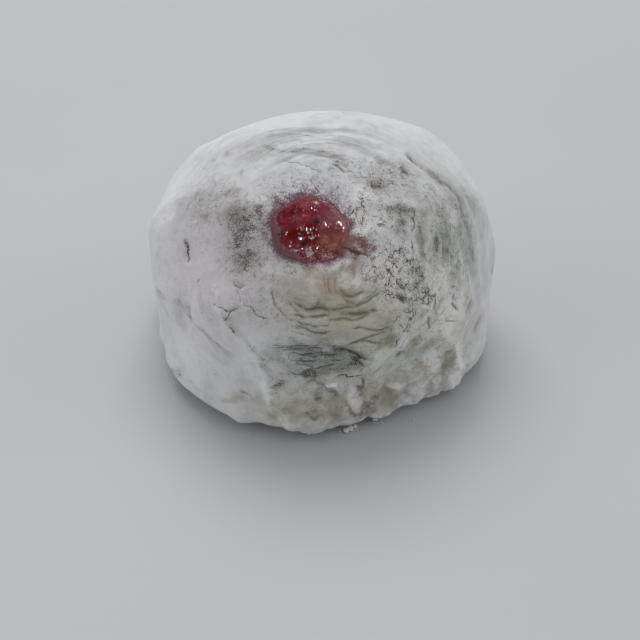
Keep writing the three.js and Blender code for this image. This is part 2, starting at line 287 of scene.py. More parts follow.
def fold_relief(points, outward):
    """A ridge or groove is a bell across its route, rise * exp(-2 (distance / width)^2). A lap stands up at
    once on the left of its route and dies away over its width."""
    total = np.zeros(len(points))
    for form, rise, width, route in FOLDS:
        line = through(dome_point(place_direction(route)), FOLD_STEPS)
        near = np.linalg.norm(points - line.mean(0), axis=1) < 3 * width + np.ptp(line, axis=0).max()
        offset, ahead, _, _ = nearest_on(line, points[near])
        distance = np.linalg.norm(offset, axis=1)
        if form == "ridge":
            relief = rise * np.exp(-2 * (distance / width) ** 2)
        else:
            side = dot(offset, unit(np.cross(outward[near], ahead)))
            past_end = np.sqrt(np.maximum(distance**2 - side**2, 0))
            dying = np.exp(-((side / width) ** 2) - (past_end / LAP_END) ** 2)
            relief = rise / (1 + np.exp(-side / LAP_EDGE)) * dying
        total[near] += np.where(distance < 3 * width, relief, 0)
    return total


def lump_relief(points):
    """Each lump is rise * exp(-steep * share^2); share is the distance from its middle over its spread."""
    along, up, wide, tall = draws(LUMPS["count"] * 4, LUMPS["seed"]).reshape(-1, 4).T
    azimuth = (np.arange(LUMPS["count"]) + along) * 360 / LUMPS["count"]
    middles = dome_point(place_direction(np.stack([azimuth, between(LUMPS["height"], up * up)], -1)))
    total = -LUMP_BAND["sunk"] / (1 + np.exp((points[:, 2] - LUMPS["height"][1]) / LUMP_BAND["fade"]))
    for middle, spread, rise in zip(middles, between(LUMPS["spread"], wide), between(LUMPS["rise"], tall)):
        share = np.linalg.norm(points - middle, axis=1) / spread
        total += np.where(share < 2, rise * np.exp(-LUMPS["steep"] * share**2), 0)
    return total


def uneven_relief(points):
    """Slow waves through the whole dome, each swell * sin(travel . point + start)."""
    turn, tilt, length, start = draws(UNEVEN["count"] * 4, UNEVEN["seed"]).reshape(-1, 4).T
    travel = direction_of(turn * 2 * np.pi, (tilt - 0.5) * np.pi)
    travel = travel * (2 * np.pi / between(UNEVEN["wavelength"], length))[:, None]
    return UNEVEN["swell"] * np.sin(points @ travel.T + start * 2 * np.pi).sum(1)


BERRY_AXIS = unit(BERRY_TIP_TOWARDS)


def berry_reach(directions, grown=0.0):
    """How far the berry reaches from its middle: an oval about its length, blunt at the top and pointed at
    the tip, ((across / radius)^n + (along / length)^n)^(-1/n)."""
    along = dot(directions, BERRY_AXIS)
    across = np.sqrt(np.maximum(1 - along**2, 0))
    length = np.where(along > 0, BERRY_TIP[0], BERRY_TOP[0]) + grown
    power = np.where(along > 0, BERRY_TIP[1], BERRY_TOP[1])
    return ((across / (BERRY_RADIUS + grown)) ** power + (np.abs(along) / length) ** power) ** (-1 / power)


TEAR_DIRECTION = place_direction([TEAR_PLACE])[0]
TEAR_POINT = dome_point(TEAR_DIRECTION)
TEAR_OUTWARD = unit(TEAR_POINT - BERRY_MIDDLE)
TEAR_RIGHT = unit(np.cross(UP, TEAR_OUTWARD))
TEAR_UP = np.cross(TEAR_OUTWARD, TEAR_RIGHT)


def tear_place(points):
    """Where points lie in the plane of the tear: mm to the right and mm up from its middle."""
    return (points - TEAR_POINT) @ TEAR_RIGHT, (points - TEAR_POINT) @ TEAR_UP


def tear_edge(angle):
    """The tear's radius at angles from the right, with its ragged edge."""
    ring = np.stack([np.cos(angle), np.sin(angle), 0 * angle], -1) * TEAR_RADIUS
    return TEAR_RADIUS + swell_of(TEAR_WAVES, angle) + TEAR_JITTER * cloud(ring, 0.9, 3, 2)


def round_tear(widths, angle):
    return np.interp(np.degrees(angle), TEAR_ANGLES, widths)


# ---- marks on the skin ----
# Cracks in the starch: half width in mm, how dark, how deep in mm, and the marks along them.
CRACKS = [
    (0.1, 0.8, 0.1, [(-4, 26), (-1, 21)]),
    (0.12, 0.9, 0.05, [(-3, 19), (0, 19)]),
    (0.1, 0.7, 0.08, [(-14, 34), (-6, 31), (0, 28)]),
    (0.12, 0.8, 0.08, [(2, 32), (7, 28)]),
    (0.1, 0.5, 0.05, [(-3, 29), (-1, 28)]),
    (0.32, 1, 0.4, [(-49, 12), (-48, 8), (-48, 4), (-46, 2)]),
    (0.15, 0.7, 0.15, [(-41, -4), (-42, -6)]),
    (0.12, 0.9, 0.15, [(-28, -6), (-26, -8), (-23, -7)]),
    (0.08, 0.5, 0.08, [(-26, -8), (-26, -9), (-25, -13)]),
    (0.07, 0.3, 0.05, [(-31, -8), (-34, -8), (-34, -13)]),
    (0.1, 0.75, 0.1, [(-34, -13), (-31, -14), (-28, -15), (-26, -14), (-25, -13)]),
    (0.2, 0.8, 0.1, [(-34.4, -12.4), (-33.6, -13.4)]),
    (0.13, 0.95, 0.15, [(-25, -13), (-22, -14), (-21, -16), (-19, -17), (-16, -18)]),
    (0.12, 0.8, 0.12, [(-26, -14), (-29, -16), (-30, -18), (-29, -20)]),
    (0.22, 1, 0.2, [(-29, -20), (-27.6, -22.6)]),
    (0.1, 0.6, 0.1, [(-17, -8), (-16, -11), (-15, -14), (-13, -16), (-11, -18)]),
    (0.25, 0.5, 0.15, [(-32, -46), (-27, -47)]),
    (0.17, 1, 0.15, [(4, 3.2), (5.5, 2.9), (7, 1.9), (9, 0.9), (11.5, 1.5)]),
    (0.15, 0.9, 0.1, [(6.2, 2), (8.3, 1.7), (9.8, 1.2), (11.9, 0.9), (13.4, 0.1)]),
    (0.15, 0.8, 0.1, [(28, 18), (28, 14), (27.6, 10), (26.4, 6.8)]),
    (0.2, 0.95, 0.15, [(26.4, 6.8), (27.5, 4.3), (27.6, 2.3), (27.2, 0.7)]),
    (0.15, 0.9, 0.15, [(27.6, 2), (25.3, 1.9), (24.2, 0.5), (23.1, -0.5)]),
    (0.17, 0.8, 0.15, [(27.2, 0.7), (26.5, -1.3), (26.6, -2.9)]),
    (0.14, 0.8, 0.1, [(17.3, -0.1), (19.6, -1), (21.4, -1.8), (22.4, -1.1)]),
    (0.2, 0.95, 0.15, [(18.3, -2.5), (19, -4.1), (20.1, -5)]),
    (0.13, 0.9, 0.1, [(12.3, -9), (13.6, -7.5), (15.5, -6.9), (16.1, -6.2), (16.5, -7.8)]),
    (0.3, 0.75, 0.15, [(20.4, -9.7), (21.9, -11.3), (23.9, -12.6), (26.3, -13.3)]),
    (0.17, 1, 0.15, [(18.4, -11.2), (20.5, -11.2)]),
    (0.17, 1, 0.15, [(28.7, -13), (31.8, -13.4), (32.5, -15.2)]),
    (0.16, 0.85, 0.12, [(24.2, -11.9), (24.1, -10), (22.1, -8.4), (22, -6.5), (24.2, -6.8)]),
    (0.18, 0.85, 0.12, [(25.6, -6.1), (26.3, -4.2), (27.4, -2.8)]),
    (0.14, 0.85, 0.12, [(22.9, -16.5), (25.7, -17), (26.2, -15.3)]),
    (0.15, 0.9, 0.12, [(29.6, -15.8), (31.1, -14.4), (33.7, -14.5), (33.4, -12.4), (34.9, -10.3)]),
    (0.2, 0.9, 0.15, [(37.3, -17.9), (37.2, -15.3), (37.8, -13.9), (37.5, -12.1), (36.6, -9.9)]),
    (0.13, 0.85, 0.1, [(44.1, -9.5), (45.5, -8.7), (48.3, -8.2)]),
    (0.3, 0.85, 0.25, [(46.1, -13.5), (47.7, -15.9), (49.9, -17.5)]),
    (0.22, 0.75, 0.15, [(46.5, -13.2), (47.1, -10.9)]),
    (0.12, 0.8, 0.1, [(40.1, -19.5), (42.3, -18.1), (43.4, -16.2), (45.3, -15.1)]),
    (0.12, 0.6, 0.1, [(43.2, -19.3), (45.9, -21.4), (49.4, -21.9), (52.6, -21.2)]),
    (0.11, 0.8, 0.1, [(20.4, -20.5), (21.7, -18.9), (23.4, -17.9)]),
    (0.12, 0.7, 0.12, [(26.7, -18.5), (25.9, -20.9), (25.1, -23.4), (25.1, -25.6)]),
    (0.12, 0.7, 0.12,
     [(30.1, -23.1), (28.5, -25.6), (27.2, -27.4), (26.5, -29.7), (24.5, -33), (20, -38)]),
    (0.16, 0.95, 0.12, [(23.8, -25.1), (23.5, -27.8), (23.5, -29.7)]),
    (0.2, 0.75, 0.12, [(34.5, -18.2), (36, -20.9), (37.5, -24.5)]),
    (0.1, 0.6, 0.05, [(6, -8.7), (8.6, -8.9)]),
    # Folds of the thin dough under the berry.
    (0.14, 0.45, 0.08,
     [(-16.6, -7.7), (-16.1, -10.1), (-15, -12.9), (-13.9, -15), (-12.2, -17.2), (-10.1, -18.8)]),
    (0.2, 0.7, 0.15, [(-11.5, -12.6), (-10.6, -13.9), (-9.1, -15.4), (-7.5, -16.2)]),
    (0.27, 0.95, 0.35,
     [(-10, -12.6), (-8.5, -13.9), (-6.5, -14.9), (-4.5, -15.2), (-2, -14.8), (0.2, -15.6), (2, -15.7)]),
    (0.22, 0.85, 0.3,
     [(-0.5, -15.2), (3.1, -15.4), (5.5, -14.9), (8.2, -14.7), (10.7, -13.8),
      (13.8, -12.1), (17.5, -10)]),
    (0.24, 0.9, 0.3,
     [(-10.5, -15.8), (-8.3, -17.3), (-6.3, -17.9), (-4.2, -17.7), (-1, -17.2), (1.5, -16.8)]),
    (0.24, 0.7, 0.25, [(-1, -18.6), (2, -18.4), (4.7, -18.3), (7.4, -18.7), (9.9, -18.2), (13.5, -16.6)]),
    (0.18, 0.75, 0.2,
     [(-12.5, -17.2), (-11, -18.1), (-8.9, -18.8), (-7.2, -19.8), (-5, -20.2), (-1.5, -20.4), (2, -20)]),
    (0.2, 0.75, 0.2,
     [(-10.5, -19.2), (-9.3, -20.1), (-7.2, -21), (-4.9, -22.1), (-1.5, -22.5), (2, -22.4)]),
    (0.14, 0.6, 0.12, [(-11.5, -21.5), (-8, -23), (-4, -24)]),
    (0.15, 0.7, 0.15, [(-1.6, -12.4), (-3, -14), (-4.2, -15.1)]),
    (0.22, 1, 0.35,
     [(3.2, -8.4), (3.9, -9.7), (5.1, -11), (6.9, -11.6), (8.7, -11.3), (10.5, -10.5), (12.5, -10.2)]),
    (0.2, 0.8, 0.25, [(3, -9.6), (3.6, -10.9), (5.1, -12.5), (6.7, -13.7), (9.5, -15.4)]),
    (0.27, 0.9, 0.3, [(2, -16.5), (4, -16.7), (6.7, -16.8), (9.9, -16.9), (12.4, -16.7), (16.5, -16)]),
    (0.16, 0.6, 0.15, [(10, -12.8), (13, -11.4), (15.5, -9.6)]),
    (0.18, 1, 0.25, [(6.5, -21), (8.2, -21.4), (10.8, -21.5), (13.5, -22), (16.6, -22.3), (20.5, -21)]),
    (0.17, 0.8, 0.2,
     [(7, -26.2), (9.1, -25.8), (11.4, -25.3), (13.7, -24.5), (16.7, -23.3), (19.5, -22.6)]),
    (0.17, 0.85, 0.2, [(5, -26.6), (7.2, -26.4), (10.4, -25.9), (13.9, -26.6), (18, -27.5)]),
    (0.17, 0.6, 0.1, [(0.8, -5.5), (0.4, -7), (0.2, -9), (1.4, -11.5)]),
    (0.17, 0.6, 0.1, [(2.8, -5.5), (2.4, -7), (2.2, -9.5), (2.8, -12)]),
    (0.1, 0.5, 0.08, [(-0.8, -4.5), (-1, -7), (-0.6, -10)]),
    (0.1, 0.5, 0.08, [(4.2, -2), (3.8, -5), (4, -8)]),
    # A fold's thin bright edge beside the cracked dough on the left.
    (0.14, 0, -0.16,
     [(-36.4, -10.4), (-34.6, -13.4), (-31.6, -17.3), (-27.9, -23), (-24.2, -28.6), (-21.3, -34.3)]),
    # Where the dough was dragged along below them.
    (0.13, 0.8, 0.1,
     [(-18.3, -26.7), (-16.1, -27.3), (-13.3, -27.6), (-9.8, -27.3), (-6.4, -27.3),
      (-3.4, -27.4), (-0.6, -27.2)]),
    (0.13, 0.85, 0.1,
     [(-17.5, -28.4), (-13.9, -28.3), (-10.8, -28.3), (-7.7, -28.7), (-4.3, -28.4), (-0.3, -28.6)]),
    (0.12, 0.75, 0.1, [(-16.5, -29), (-13, -29.3), (-10.8, -29), (-7.1, -29.4)]),
    (0.17, 0.9, 0.15,
     [(-12.4, -29.7), (-9.9, -30.4), (-7.5, -31.1), (-4.6, -30.9), (-1.5, -30.7), (1, -29.7)]),
    (0.3, 1, 0.2,
     [(1, -29.7), (3.5, -29.6), (6.4, -29.8), (9.2, -31.3), (12.2, -33.2), (15.3, -34.9)]),
    (0.17, 0.9, 0.1, [(-6.5, -32.2), (-3.7, -31.6), (-0.9, -31.4), (1.6, -31.2), (4.2, -31)]),
    (0.18, 0.85, 0.12,
     [(-12.6, -32.5), (-9.7, -33.2), (-7.2, -33.7), (-4.7, -33.4), (-3.1, -32.7), (-0.9, -32.9)]),
    (0.18, 0.85, 0.1, [(5, -34.2), (3.3, -33.2), (1.1, -33.4)]),
    (0.2, 0.85, 0.12,
     [(4.7, -34.5), (2.4, -35), (-0.5, -35.5), (-3.1, -36.1), (-5.3, -36.7), (-7.6, -38.5)]),
    (0.2, 0.8, 0.12, [(-13.1, -37), (-10.5, -38.1), (-8, -38.9), (-5.7, -38.6)]),
    (0.26, 0.85, 0.15, [(6.8, -31.4), (9.4, -33.6), (11.7, -35.5), (14.2, -38.1)]),
    (0.15, 1, 0.1, [(1.9, -29.1), (2.2, -27.7), (3.1, -26.7)]),
    (0.2, 1, 0.12,
     [(2.6, -40.6), (4.6, -39.7), (6.7, -40), (8.2, -41.1), (10.8, -41.2), (12.7, -41.2), (14.6, -41.2)]),
    # Folds of the foot.
    (0.3, 0.5, 0.35,
     [(-8.4, -42.8), (-5.7, -42.1), (-3.1, -42.3), (-0.7, -43.7), (1.4, -45.6),
      (3.6, -47.2), (5.8, -48.5)]),
    (0.35, 0.5, 0.35, [(5.8, -48.5), (7.4, -50.9), (9.1, -53.9), (10.9, -57.2), (14.3, -60.4)]),
    (0.3, 0.8, 0.25, [(10.7, -44.6), (12.5, -47.6), (14, -50.1), (15.4, -51.8)]),
    (0.26, 0.85, 0.2, [(13.2, -42.6), (14.3, -45.5), (14.2, -48.1), (13.5, -49.6)]),
    (0.25, 0.6, 0.3, [(-4.4, -47.3), (-2.7, -48.3), (-1.3, -48.1)]),
    (0.25, 0.6, 0.3, [(-7.8, -51), (-6.1, -52.7), (-4.3, -54.5), (-2.6, -53.5), (-1.2, -52.1)]),
]
# Streaks where the starch was dragged thin along the flow of the skin, in the same order of values.
# One of them is a painted shadow beside a fold, as said above it.
STREAKS = [
    (0.32, 0.6, 0.05, [(-21, 52.6), (-13.6, 52.6), (-6.4, 50.4), (-0.4, 47.3)]),
    (0.28, 0.5, 0.05, [(-21.6, 48.5), (-15.2, 49.2), (-8.1, 47.7), (-1.9, 44.7)]),
    (0.28, 0.7, 0.08,
     [(-22, 45.5), (-18.1, 41.2), (-12.8, 38.2), (-7.9, 37.1), (-3, 35.7),
      (1.7, 34.2), (6.3, 31.1), (9.5, 27.9)]),
    (0.2, 0.5, 0.05, [(-13.6, 39.9), (-7.9, 38.7), (-1.4, 37.2), (3.3, 35.2), (7.3, 32)]),
    (0.28, 1, 0.1, [(1, 32.3), (4.6, 29.7), (8.2, 27.4)]),
    (0.22, 0.8, 0.1, [(-46, -12), (-46.1, -16.5), (-45.2, -20.5)]),
    (0.22, 0.7, 0.1, [(-46.9, -22), (-47, -26.1), (-46.8, -30)]),
    (0.2, 0.7, 0.1, [(-53.7, -9.6), (-45.8, -18), (-37.5, -25.8), (-33.2, -30), (-30.5, -33.2)]),
    (0.35, 0.6, 0.1, [(-35.5, -28), (-33.2, -30.3), (-30, -33.2)]),
    (0.3, 0.6, 0.1, [(-73.7, -4.7), (-65.2, -8.5), (-59.8, -11.7)]),
    (0.25, 0.8, 0.1, [(-34, 19), (-33.8, 15.1), (-34.1, 12)]),
    (0.35, 0.6, 0.1, [(-41.2, 19.6), (-39.9, 16.4), (-38.7, 13.4)]),
    (0.4, 0.4, 0.1, [(-55, -10), (-52, -14)]),
    (0.5, 0.5, 0.15, [(-74, -7), (-62, -11)]),
    (0.55, 1, 0.12, [(-9, -38.7), (-5.5, -38.2), (-2, -36.6)]),
    (0.6, 1, 0.1, [(0, -30.6), (4, -30.6), (7.5, -31)]),
    (0.55, 0.85, 0.1, [(7, -32), (10, -34.8), (13, -37.5)]),
    (0.3, 1, 0.25, [(28, 41), (31, 38), (34, 34.5)]),
    (0.3, 0.55, 0.2, [(34, 34.5), (39, 30), (43, 27), (48, 23), (50, 18), (55, 13), (57, 7), (61, 1)]),
    (0.3, 0.7, 0.15, [(6.5, -2), (7.5, -5), (8, -8)]),
    (0.4, 0.45, 0.15, [(31, 17), (30, 9), (32, -1)]),
    (0.5, 0.6, 0.25, [(20, -23), (22, -27), (22, -32)]),
    (0.45, 0.85, 0.25, [(32.8, -25.5), (33.2, -29.8), (35, -33)]),
    (0.8, 0.6, 0.3, [(53.8, -31.5), (53.2, -36), (52.2, -40.5), (52.8, -45)]),
    (0.35, 0.6, 0.15, [(53.1, -31), (51.6, -33.6), (50.1, -36.2), (48, -37.9)]),
    (0.5, 0.6, 0.2, [(28, -33), (28, -37)]),
    (0.5, 0.5, 0.2, [(67, -21), (70, -29)]),
    (0.35, 0.75, 0.15, [(56.6, -12.4), (55.8, -16.7), (54.6, -21)]),
    # Painted shadow: a soft grey line along the shaded right side of the lapped fold on the left, also
    # pressed in a little.
    (0.4, 0.45, 0.2, [(-32, -15), (-28, -20), (-24, -27), (-21, -33), (-19, -40), (-18, -46)]),
    (0.4, 0, -0.22,
     [(-35, -13), (-30, -18), (-26, -25), (-24, -31), (-22, -34), (-21, -40), (-20, -46), (-21, -50)]),
]
# Stains by what shows: the two angles of each one's mark, half its width and height in mm, and its strength.
# A few are painted shade or painted light instead, as said above them.
STAINS = {
    "bare": [
        (-25, 12.5, 2.6, 2.1, 0.9), (-19.5, 12, 1.8, 2.4, 0.75), (-26, 6.5, 1.5, 1.3, 0.85),
        (-23.5, 0.5, 1.8, 1.4, 0.8), (-30, 23.5, 1.4, 1.0, 0.6), (-42, 27, 1.3, 0.7, 0.5),
        (-27, 32, 0.5, 0.6, 0.7), (-34, 42, 0.8, 0.8, 0.4), (-40, 41, 0.7, 0.8, 0.35),
        (3, 28, 0.4, 0.4, 0.8), (16.3, 24.6, 1.2, 0.8, 1.2), (12, 21, 0.5, 0.3, 0.8),
        (26.8, 30.6, 0.6, 0.8, 1.1), (34, 35, 0.5, 0.6, 0.7), (23, 15, 2.5, 0.8, 0.75),
        (24, 10, 0.8, 0.9, 0.75), (38, 6, 1.0, 1.6, 0.7), (35, 1, 0.4, 0.4, 0.8), (46, 2, 0.4, 0.4, 0.7),
        (31, -12, 1.1, 1.1, 0.85), (29, -5, 1.2, 1.6, 0.8), (22, -12, 0.9, 0.6, 0.6),
        # In the next two rows, (24, -55) and (15.5, -57) are painted shade: bare dough shown in the hollow
        # under the foot's overhang.
        (21, -40, 0.8, 0.9, 0.8), (-16, -42, 1.1, 0.8, 1.0), (24, -55, 3.4, 1.5, 0.25),
        (15.5, -57, 2.2, 1.0, 0.85), (-3, -46, 0.7, 0.9, 0.6), (18.7, -54, 0.8, 1.3, 0.6),
        (-5.5, -38, 1.3, 0.6, 0.8), (10, -34, 1.0, 0.9, 0.6), (22, 33, 1.0, 1.2, 0.45),
    ],
    "ochre": [
        # In the next row, (22, -55) tints the painted shade under the foot's overhang olive.
        (-34, -49, 2.2, 0.7, 0.6), (22, -55, 4.0, 1.6, 0.5), (39.3, -43.2, 1.1, 0.8, 0.9),
        (51.8, -40, 1.4, 3.2, 0.55), (67.4, -22.5, 0.9, 1.8, 0.8), (55.5, -17, 0.8, 2.2, 0.7),
        (33.5, -29.5, 0.9, 1.8, 0.7), (6.4, -2.4, 1.4, 1.1, 0.9), (19, -25, 1.3, 2.0, 0.6),
        (12, -23.5, 3.6, 1.8, 0.5), (-18.4, -52.8, 2.6, 0.8, 0.7), (4, -12, 0.8, 0.8, 0.7),
        (12, -17, 2.6, 0.9, 0.6), (-5, -17, 2.6, 1.6, 0.55), (3, -11, 6.2, 3.6, 0.75),
        (4, -17.5, 7.5, 2.6, 0.6), (-4, -52, 8.0, 2.0, 0.45), (22, -50, 5.0, 2.5, 0.45),
        (5, 0, 1.3, 0.5, 0.4),
    ],
    "thin": [
        (-10, 37, 1.6, 1.2, 0.35), (-10, 50, 4.5, 1.2, 0.3), (19, 36, 0.8, 1.3, 0.7),
        # In the next row, (24, -55) is painted shade under the foot's overhang.
        (24, -55, 4.2, 1.8, 1.0), (8, -17.6, 3.2, 0.8, 0.7), (-4, -14.5, 2.4, 0.6, 0.6),
        (19, -25, 1.2, 2.0, 0.8), (-1, -33, 6.6, 3.1, 0.8), (3, -51.6, 1.3, 1.6, 0.8),
        # In the next row, (31, -53) is painted shade in the hollow of the foot.
        (-5, -50, 2.0, 2.2, 0.7), (-9, -3, 3.2, 1.4, 0.6), (31, -53, 3.0, 1.6, 0.7),
        (-32, 22, 3.0, 3.6, 0.55), (-39, 23, 3.2, 3.0, 0.55), (-27, 7, 3.2, 4.4, 0.5),
        (-13, -6, 7.5, 4.5, 0.5), (-24, 40, 3.0, 2.0, 0.35), (16, 26, 2.8, 2.0, 0.6),
        (31, 32, 3.6, 2.0, 0.4), (-38, -20, 1.6, 6.0, 0.45), (-52, -20, 1.2, 4.5, 0.3),
        (0, -48, 12.0, 4.0, 0.5),
    ],
    "brown": [
        (-54, -45, 0.7, 0.4, 0.5), (32, -47, 1.9, 1.3, 0.45), (7.4, 4, 2.6, 1.9, 1.0),
        (1.4, -9, 1.3, 1.5, 0.75), (4.8, -12, 0.9, 0.9, 0.6), (-4.9, -4.3, 0.7, 0.7, 0.9),
        (7.1, -1.8, 0.4, 0.6, 0.6), (-10.9, -49.4, 1.4, 0.8, 0.6), (3, -51.6, 1.1, 1.4, 0.7),
        (-12, -8, 0.35, 0.35, 0.6), (-5, -4, 0.4, 0.4, 0.5),
    ],
    "bright": [
        (8, -7, 1.7, 1.4, 0.5), (-3.6, -9, 0.8, 1.0, 0.3), (-13, -53.7, 2.2, 1.0, 0.5),
        (10.8, -49.5, 1.1, 1.4, 0.6), (-20, -44, 1.2, 2.4, 0.5), (2, -45, 0.7, 0.4, 1.0),
        (59, -46, 2.3, 1.8, 0.7), (30, -51, 1.5, 0.6, 0.8), (-60, 21, 3.2, 1.5, 0.6),
        (38, -10, 2.8, 3.0, 0.8), (14, -3, 1.8, 1.8, 0.5), (9, 11, 1.6, 2.6, 1.0),
        (33, -25, 2.0, 2.4, 0.5), (19, -33, 2.6, 2.4, 0.5), (46, -19, 3.6, 4.2, 0.95),
        (51, -31, 2.2, 2.4, 0.6), (36, -18, 1.6, 2.2, 0.6), (-52, -29, 5.0, 4.0, 0.5),
        (4.5, -0.5, 0.9, 0.5, 0.9), (-21, 17, 1.0, 0.8, 0.6), (14, 11, 3.0, 2.4, 0.5),
        # In the next row, (-40, -19) and (-24, -31) are painted light: whiter powder on the lower left,
        # standing in for the light that falls there.
        (44, 17, 1.6, 2.6, 0.5), (-40, -19, 4.5, 4.0, 0.4), (-24, -31, 2.4, 3.6, 0.5),
        (58, -38, 0.9, 3.6, 0.9), (45.2, -40, 1.5, 2.4, 0.7), (26, -27.5, 1.8, 2.2, 0.6),
    ],
    "crackle": [
        (10, 15, 1.1, 1.5, 0.9), (18, 12, 1.4, 0.8, 1.0), (21, -3, 4.2, 2.6, 1.0),
        (22, -10, 3.0, 2.0, 0.7), (31, -12, 2.4, 1.6, 1.0), (27, -20, 1.6, 2.6, 0.7),
    ],
    "streaky": [
        (-44, -12, 3.2, 3.4, 0.35), (-2, -32, 7.0, 3.2, 0.75), (45, 0, 7.5, 15.0, 0.6),
        (-4, 44, 11.0, 5.5, 0.65), (34, 24, 5.0, 5.0, 0.3), (-45, -22, 5.0, 7.0, 0.25),
    ],
    "beige": [
        (30, -30, 15.0, 9.0, 1.0), (0, -50, 12.0, 4.5, 0.6), (42, 2, 9.0, 12.0, 0.6),
    ],
    "pink": [
        (-12, -5.8, 3.4, 3.0, 0.8), (-17.5, 8, 1.6, 4.2, 1.0), (-13, 0, 2.6, 1.6, 1.0),
        (-13, -53.7, 2.6, 1.4, 0.8), (-38, -2, 9.0, 10.0, 1.0),
    ],
    "film": [
        (-7, 22.5, 2.6, 1.3, 0.5), (7.8, 5.0, 2.0, 1.7, 0.85), (11.5, 2.5, 1.4, 1.2, 0.6),
    ],
    "gritty": [
        (-8, -2, 5.0, 1.8, 0.6), (16, 13, 5.0, 3.2, 0.8), (22, -6, 5.5, 4.5, 0.7),
        (32, -20, 7.0, 6.0, 0.6), (4, -11, 6.0, 4.5, 0.25), (-24, 6, 3.2, 5.0, 0.8),
        (-16, -14, 5.0, 3.0, 0.35), (42, 6, 6.0, 10.0, 0.55), (0, -33, 9.0, 3.5, 0.6),
        (40, -38, 10.0, 6.0, 0.45), (8, -50, 12.0, 4.5, 0.35), (17, 27, 5.0, 3.5, 0.7),
        (-38, 20, 4.0, 5.0, 0.45), (-8, 22, 5.5, 2.2, 0.7),
    ],
}
# The side away from the front has marks of the same kinds, drawn by lot. The limits are of how far round a
# line goes, at 60 degrees from the middle of the face, of its half width, and of its waver to and fro.
BACK_STREAKS = dict(count=26, seed=103, span=(14, 40), half_width=(0.2, 0.55), waver=5)
BACK_CRACKS = dict(count=16, seed=93, span=(5, 13), half_width=(0.08, 0.16), waver=3)
BACK_LINE = dict(away=(82, 157), dark=(0.45, 0.95), depth=0.12)
BACK_STAINS = dict(count=34, seed=77, away=(78, 158), wide=(0.6, 2.4), tall=(0.5, 1.8), strength=(0.5, 1))
BACK_STAIN_KINDS = ("bare", "gritty", "crackle", "ochre", "thin", "streaky")

LINE_FADE = 1.2  # mm over which a line fades at its ends
LINE_GROUPS = 3
CRACK_REACH, STREAK_REACH = 0.9, 1.7  # mm from a line to where its field ends
FAR_OFF = 9.0  # the side of points that no line reaches


def back_lines(form):
    """Lines behind, in the form of the tables above, which go round the face past its edge."""
    lines = []
    for i, lot in enumerate(draws(form["count"] * 8, form["seed"]).reshape(-1, 8)):
        away, turn = between(BACK_LINE["away"], lot[0]), 360 * (i + lot[1]) / form["count"]
        span = between(form["span"], lot[2]) * 60 / away
        turns = np.radians(turn + span * np.linspace(-0.5, 0.5, 5))
        aways = away + (lot[3:8] - 0.5) * form["waver"]
        route = np.stack([aways * np.cos(turns), aways * np.sin(turns)], -1)
        dark = between(BACK_LINE["dark"], lot[5])
        lines.append((between(form["half_width"], lot[4]), dark, BACK_LINE["depth"], route))
    return lines


def back_stains():
    """Stains behind, by what shows."""
    form, stains = BACK_STAINS, {kind: [] for kind in STAINS}
    for i, lot in enumerate(draws(form["count"] * 6, form["seed"]).reshape(-1, 6)):
        away, turn = between(form["away"], lot[0]), 2 * np.pi * (i + lot[1]) / form["count"]
        size = between(form["wide"], lot[3]), between(form["tall"], lot[4])
        kind = BACK_STAIN_KINDS[int(lot[2] * len(BACK_STAIN_KINDS))]
        strength = between(form["strength"], lot[5])
        stains[kind].append((away * np.cos(turn), away * np.sin(turn), *size, strength))
    return stains


def line_fields(points, outward, lines, reach):
    """Each line as a field on the points: the signed distance across it over its half width, and its
    strength, which fades out at its ends and at the reach. Lines that come close together go into different
    groups, so that each field stays smooth across its lines. Also returns the dent that all lines press."""
    groups = LINE_GROUPS
    side, strength = np.full((groups, len(points)), FAR_OFF), np.zeros((groups, len(points)))
    best, dent = np.zeros((groups, len(points))), np.zeros(len(points))
    taken = [[] for _ in range(groups)]
    for half_width, dark, depth, marks in lines:
        line = dome_point(mark_direction(through(marks, LINE_STEPS)))
        room = []
        for group in taken:
            gaps = [np.linalg.norm(other[:, None] - line, axis=2).min() for other in group]
            room.append(min(gaps, default=99))
        g = int(np.argmax(room))
        taken[g].append(line)
        low, high = line.min(0) - 2 * reach, line.max(0) + 2 * reach
        near = np.nonzero(((points > low) & (points < high)).all(1))[0]
        offset, ahead, travelled, length = nearest_on(line, points[near])
        distance = np.linalg.norm(offset, axis=1)
        across = dot(offset, unit(np.cross(outward[near], ahead)))
        fade = min(LINE_FADE, length / 3)
        ends = smooth(0, fade, travelled) * smooth(0, fade, length - travelled)
        score = (1 - distance / (2 * reach)) * (0.2 + ends)
        wins = (score > best[g, near]) & (distance < 2 * reach)
        won = near[wins]
        best[g, won] = score[wins]
        side[g, won] = np.clip(across[wins] / half_width, -FAR_OFF, FAR_OFF)
        strength[g, won] = dark * (ends * (1 - smooth(0.6 * reach, reach, distance)))[wins]
        dent_width = max(1.4 * half_width, 0.28)
        dent[near] += depth * ends * np.exp(-((across / dent_width) ** 2)) * (distance < reach)
    return side.T, strength.T, dent


def stain_fields(marks, *tables):
    """Each kind of stain as a field: strength * exp(-0.7 q^3), where q is the distance from the stain's
    middle over its half size."""
    degree = np.radians(1) * (HEIGHT - WAIST_HEIGHT)
    fields = {kind: np.zeros(len(marks)) for kind in STAINS}
    for table in tables:
        for kind, stains in table.items():
            for right, up, wide, tall, strength in stains:
                steps = (marks - (right, up)) * degree
                q = np.hypot(steps[:, 0] / wide, steps[:, 1] / tall)
                fields[kind] = np.maximum(fields[kind], strength * np.exp(-0.7 * q**3))
    return fields


# ---- making pieces ----


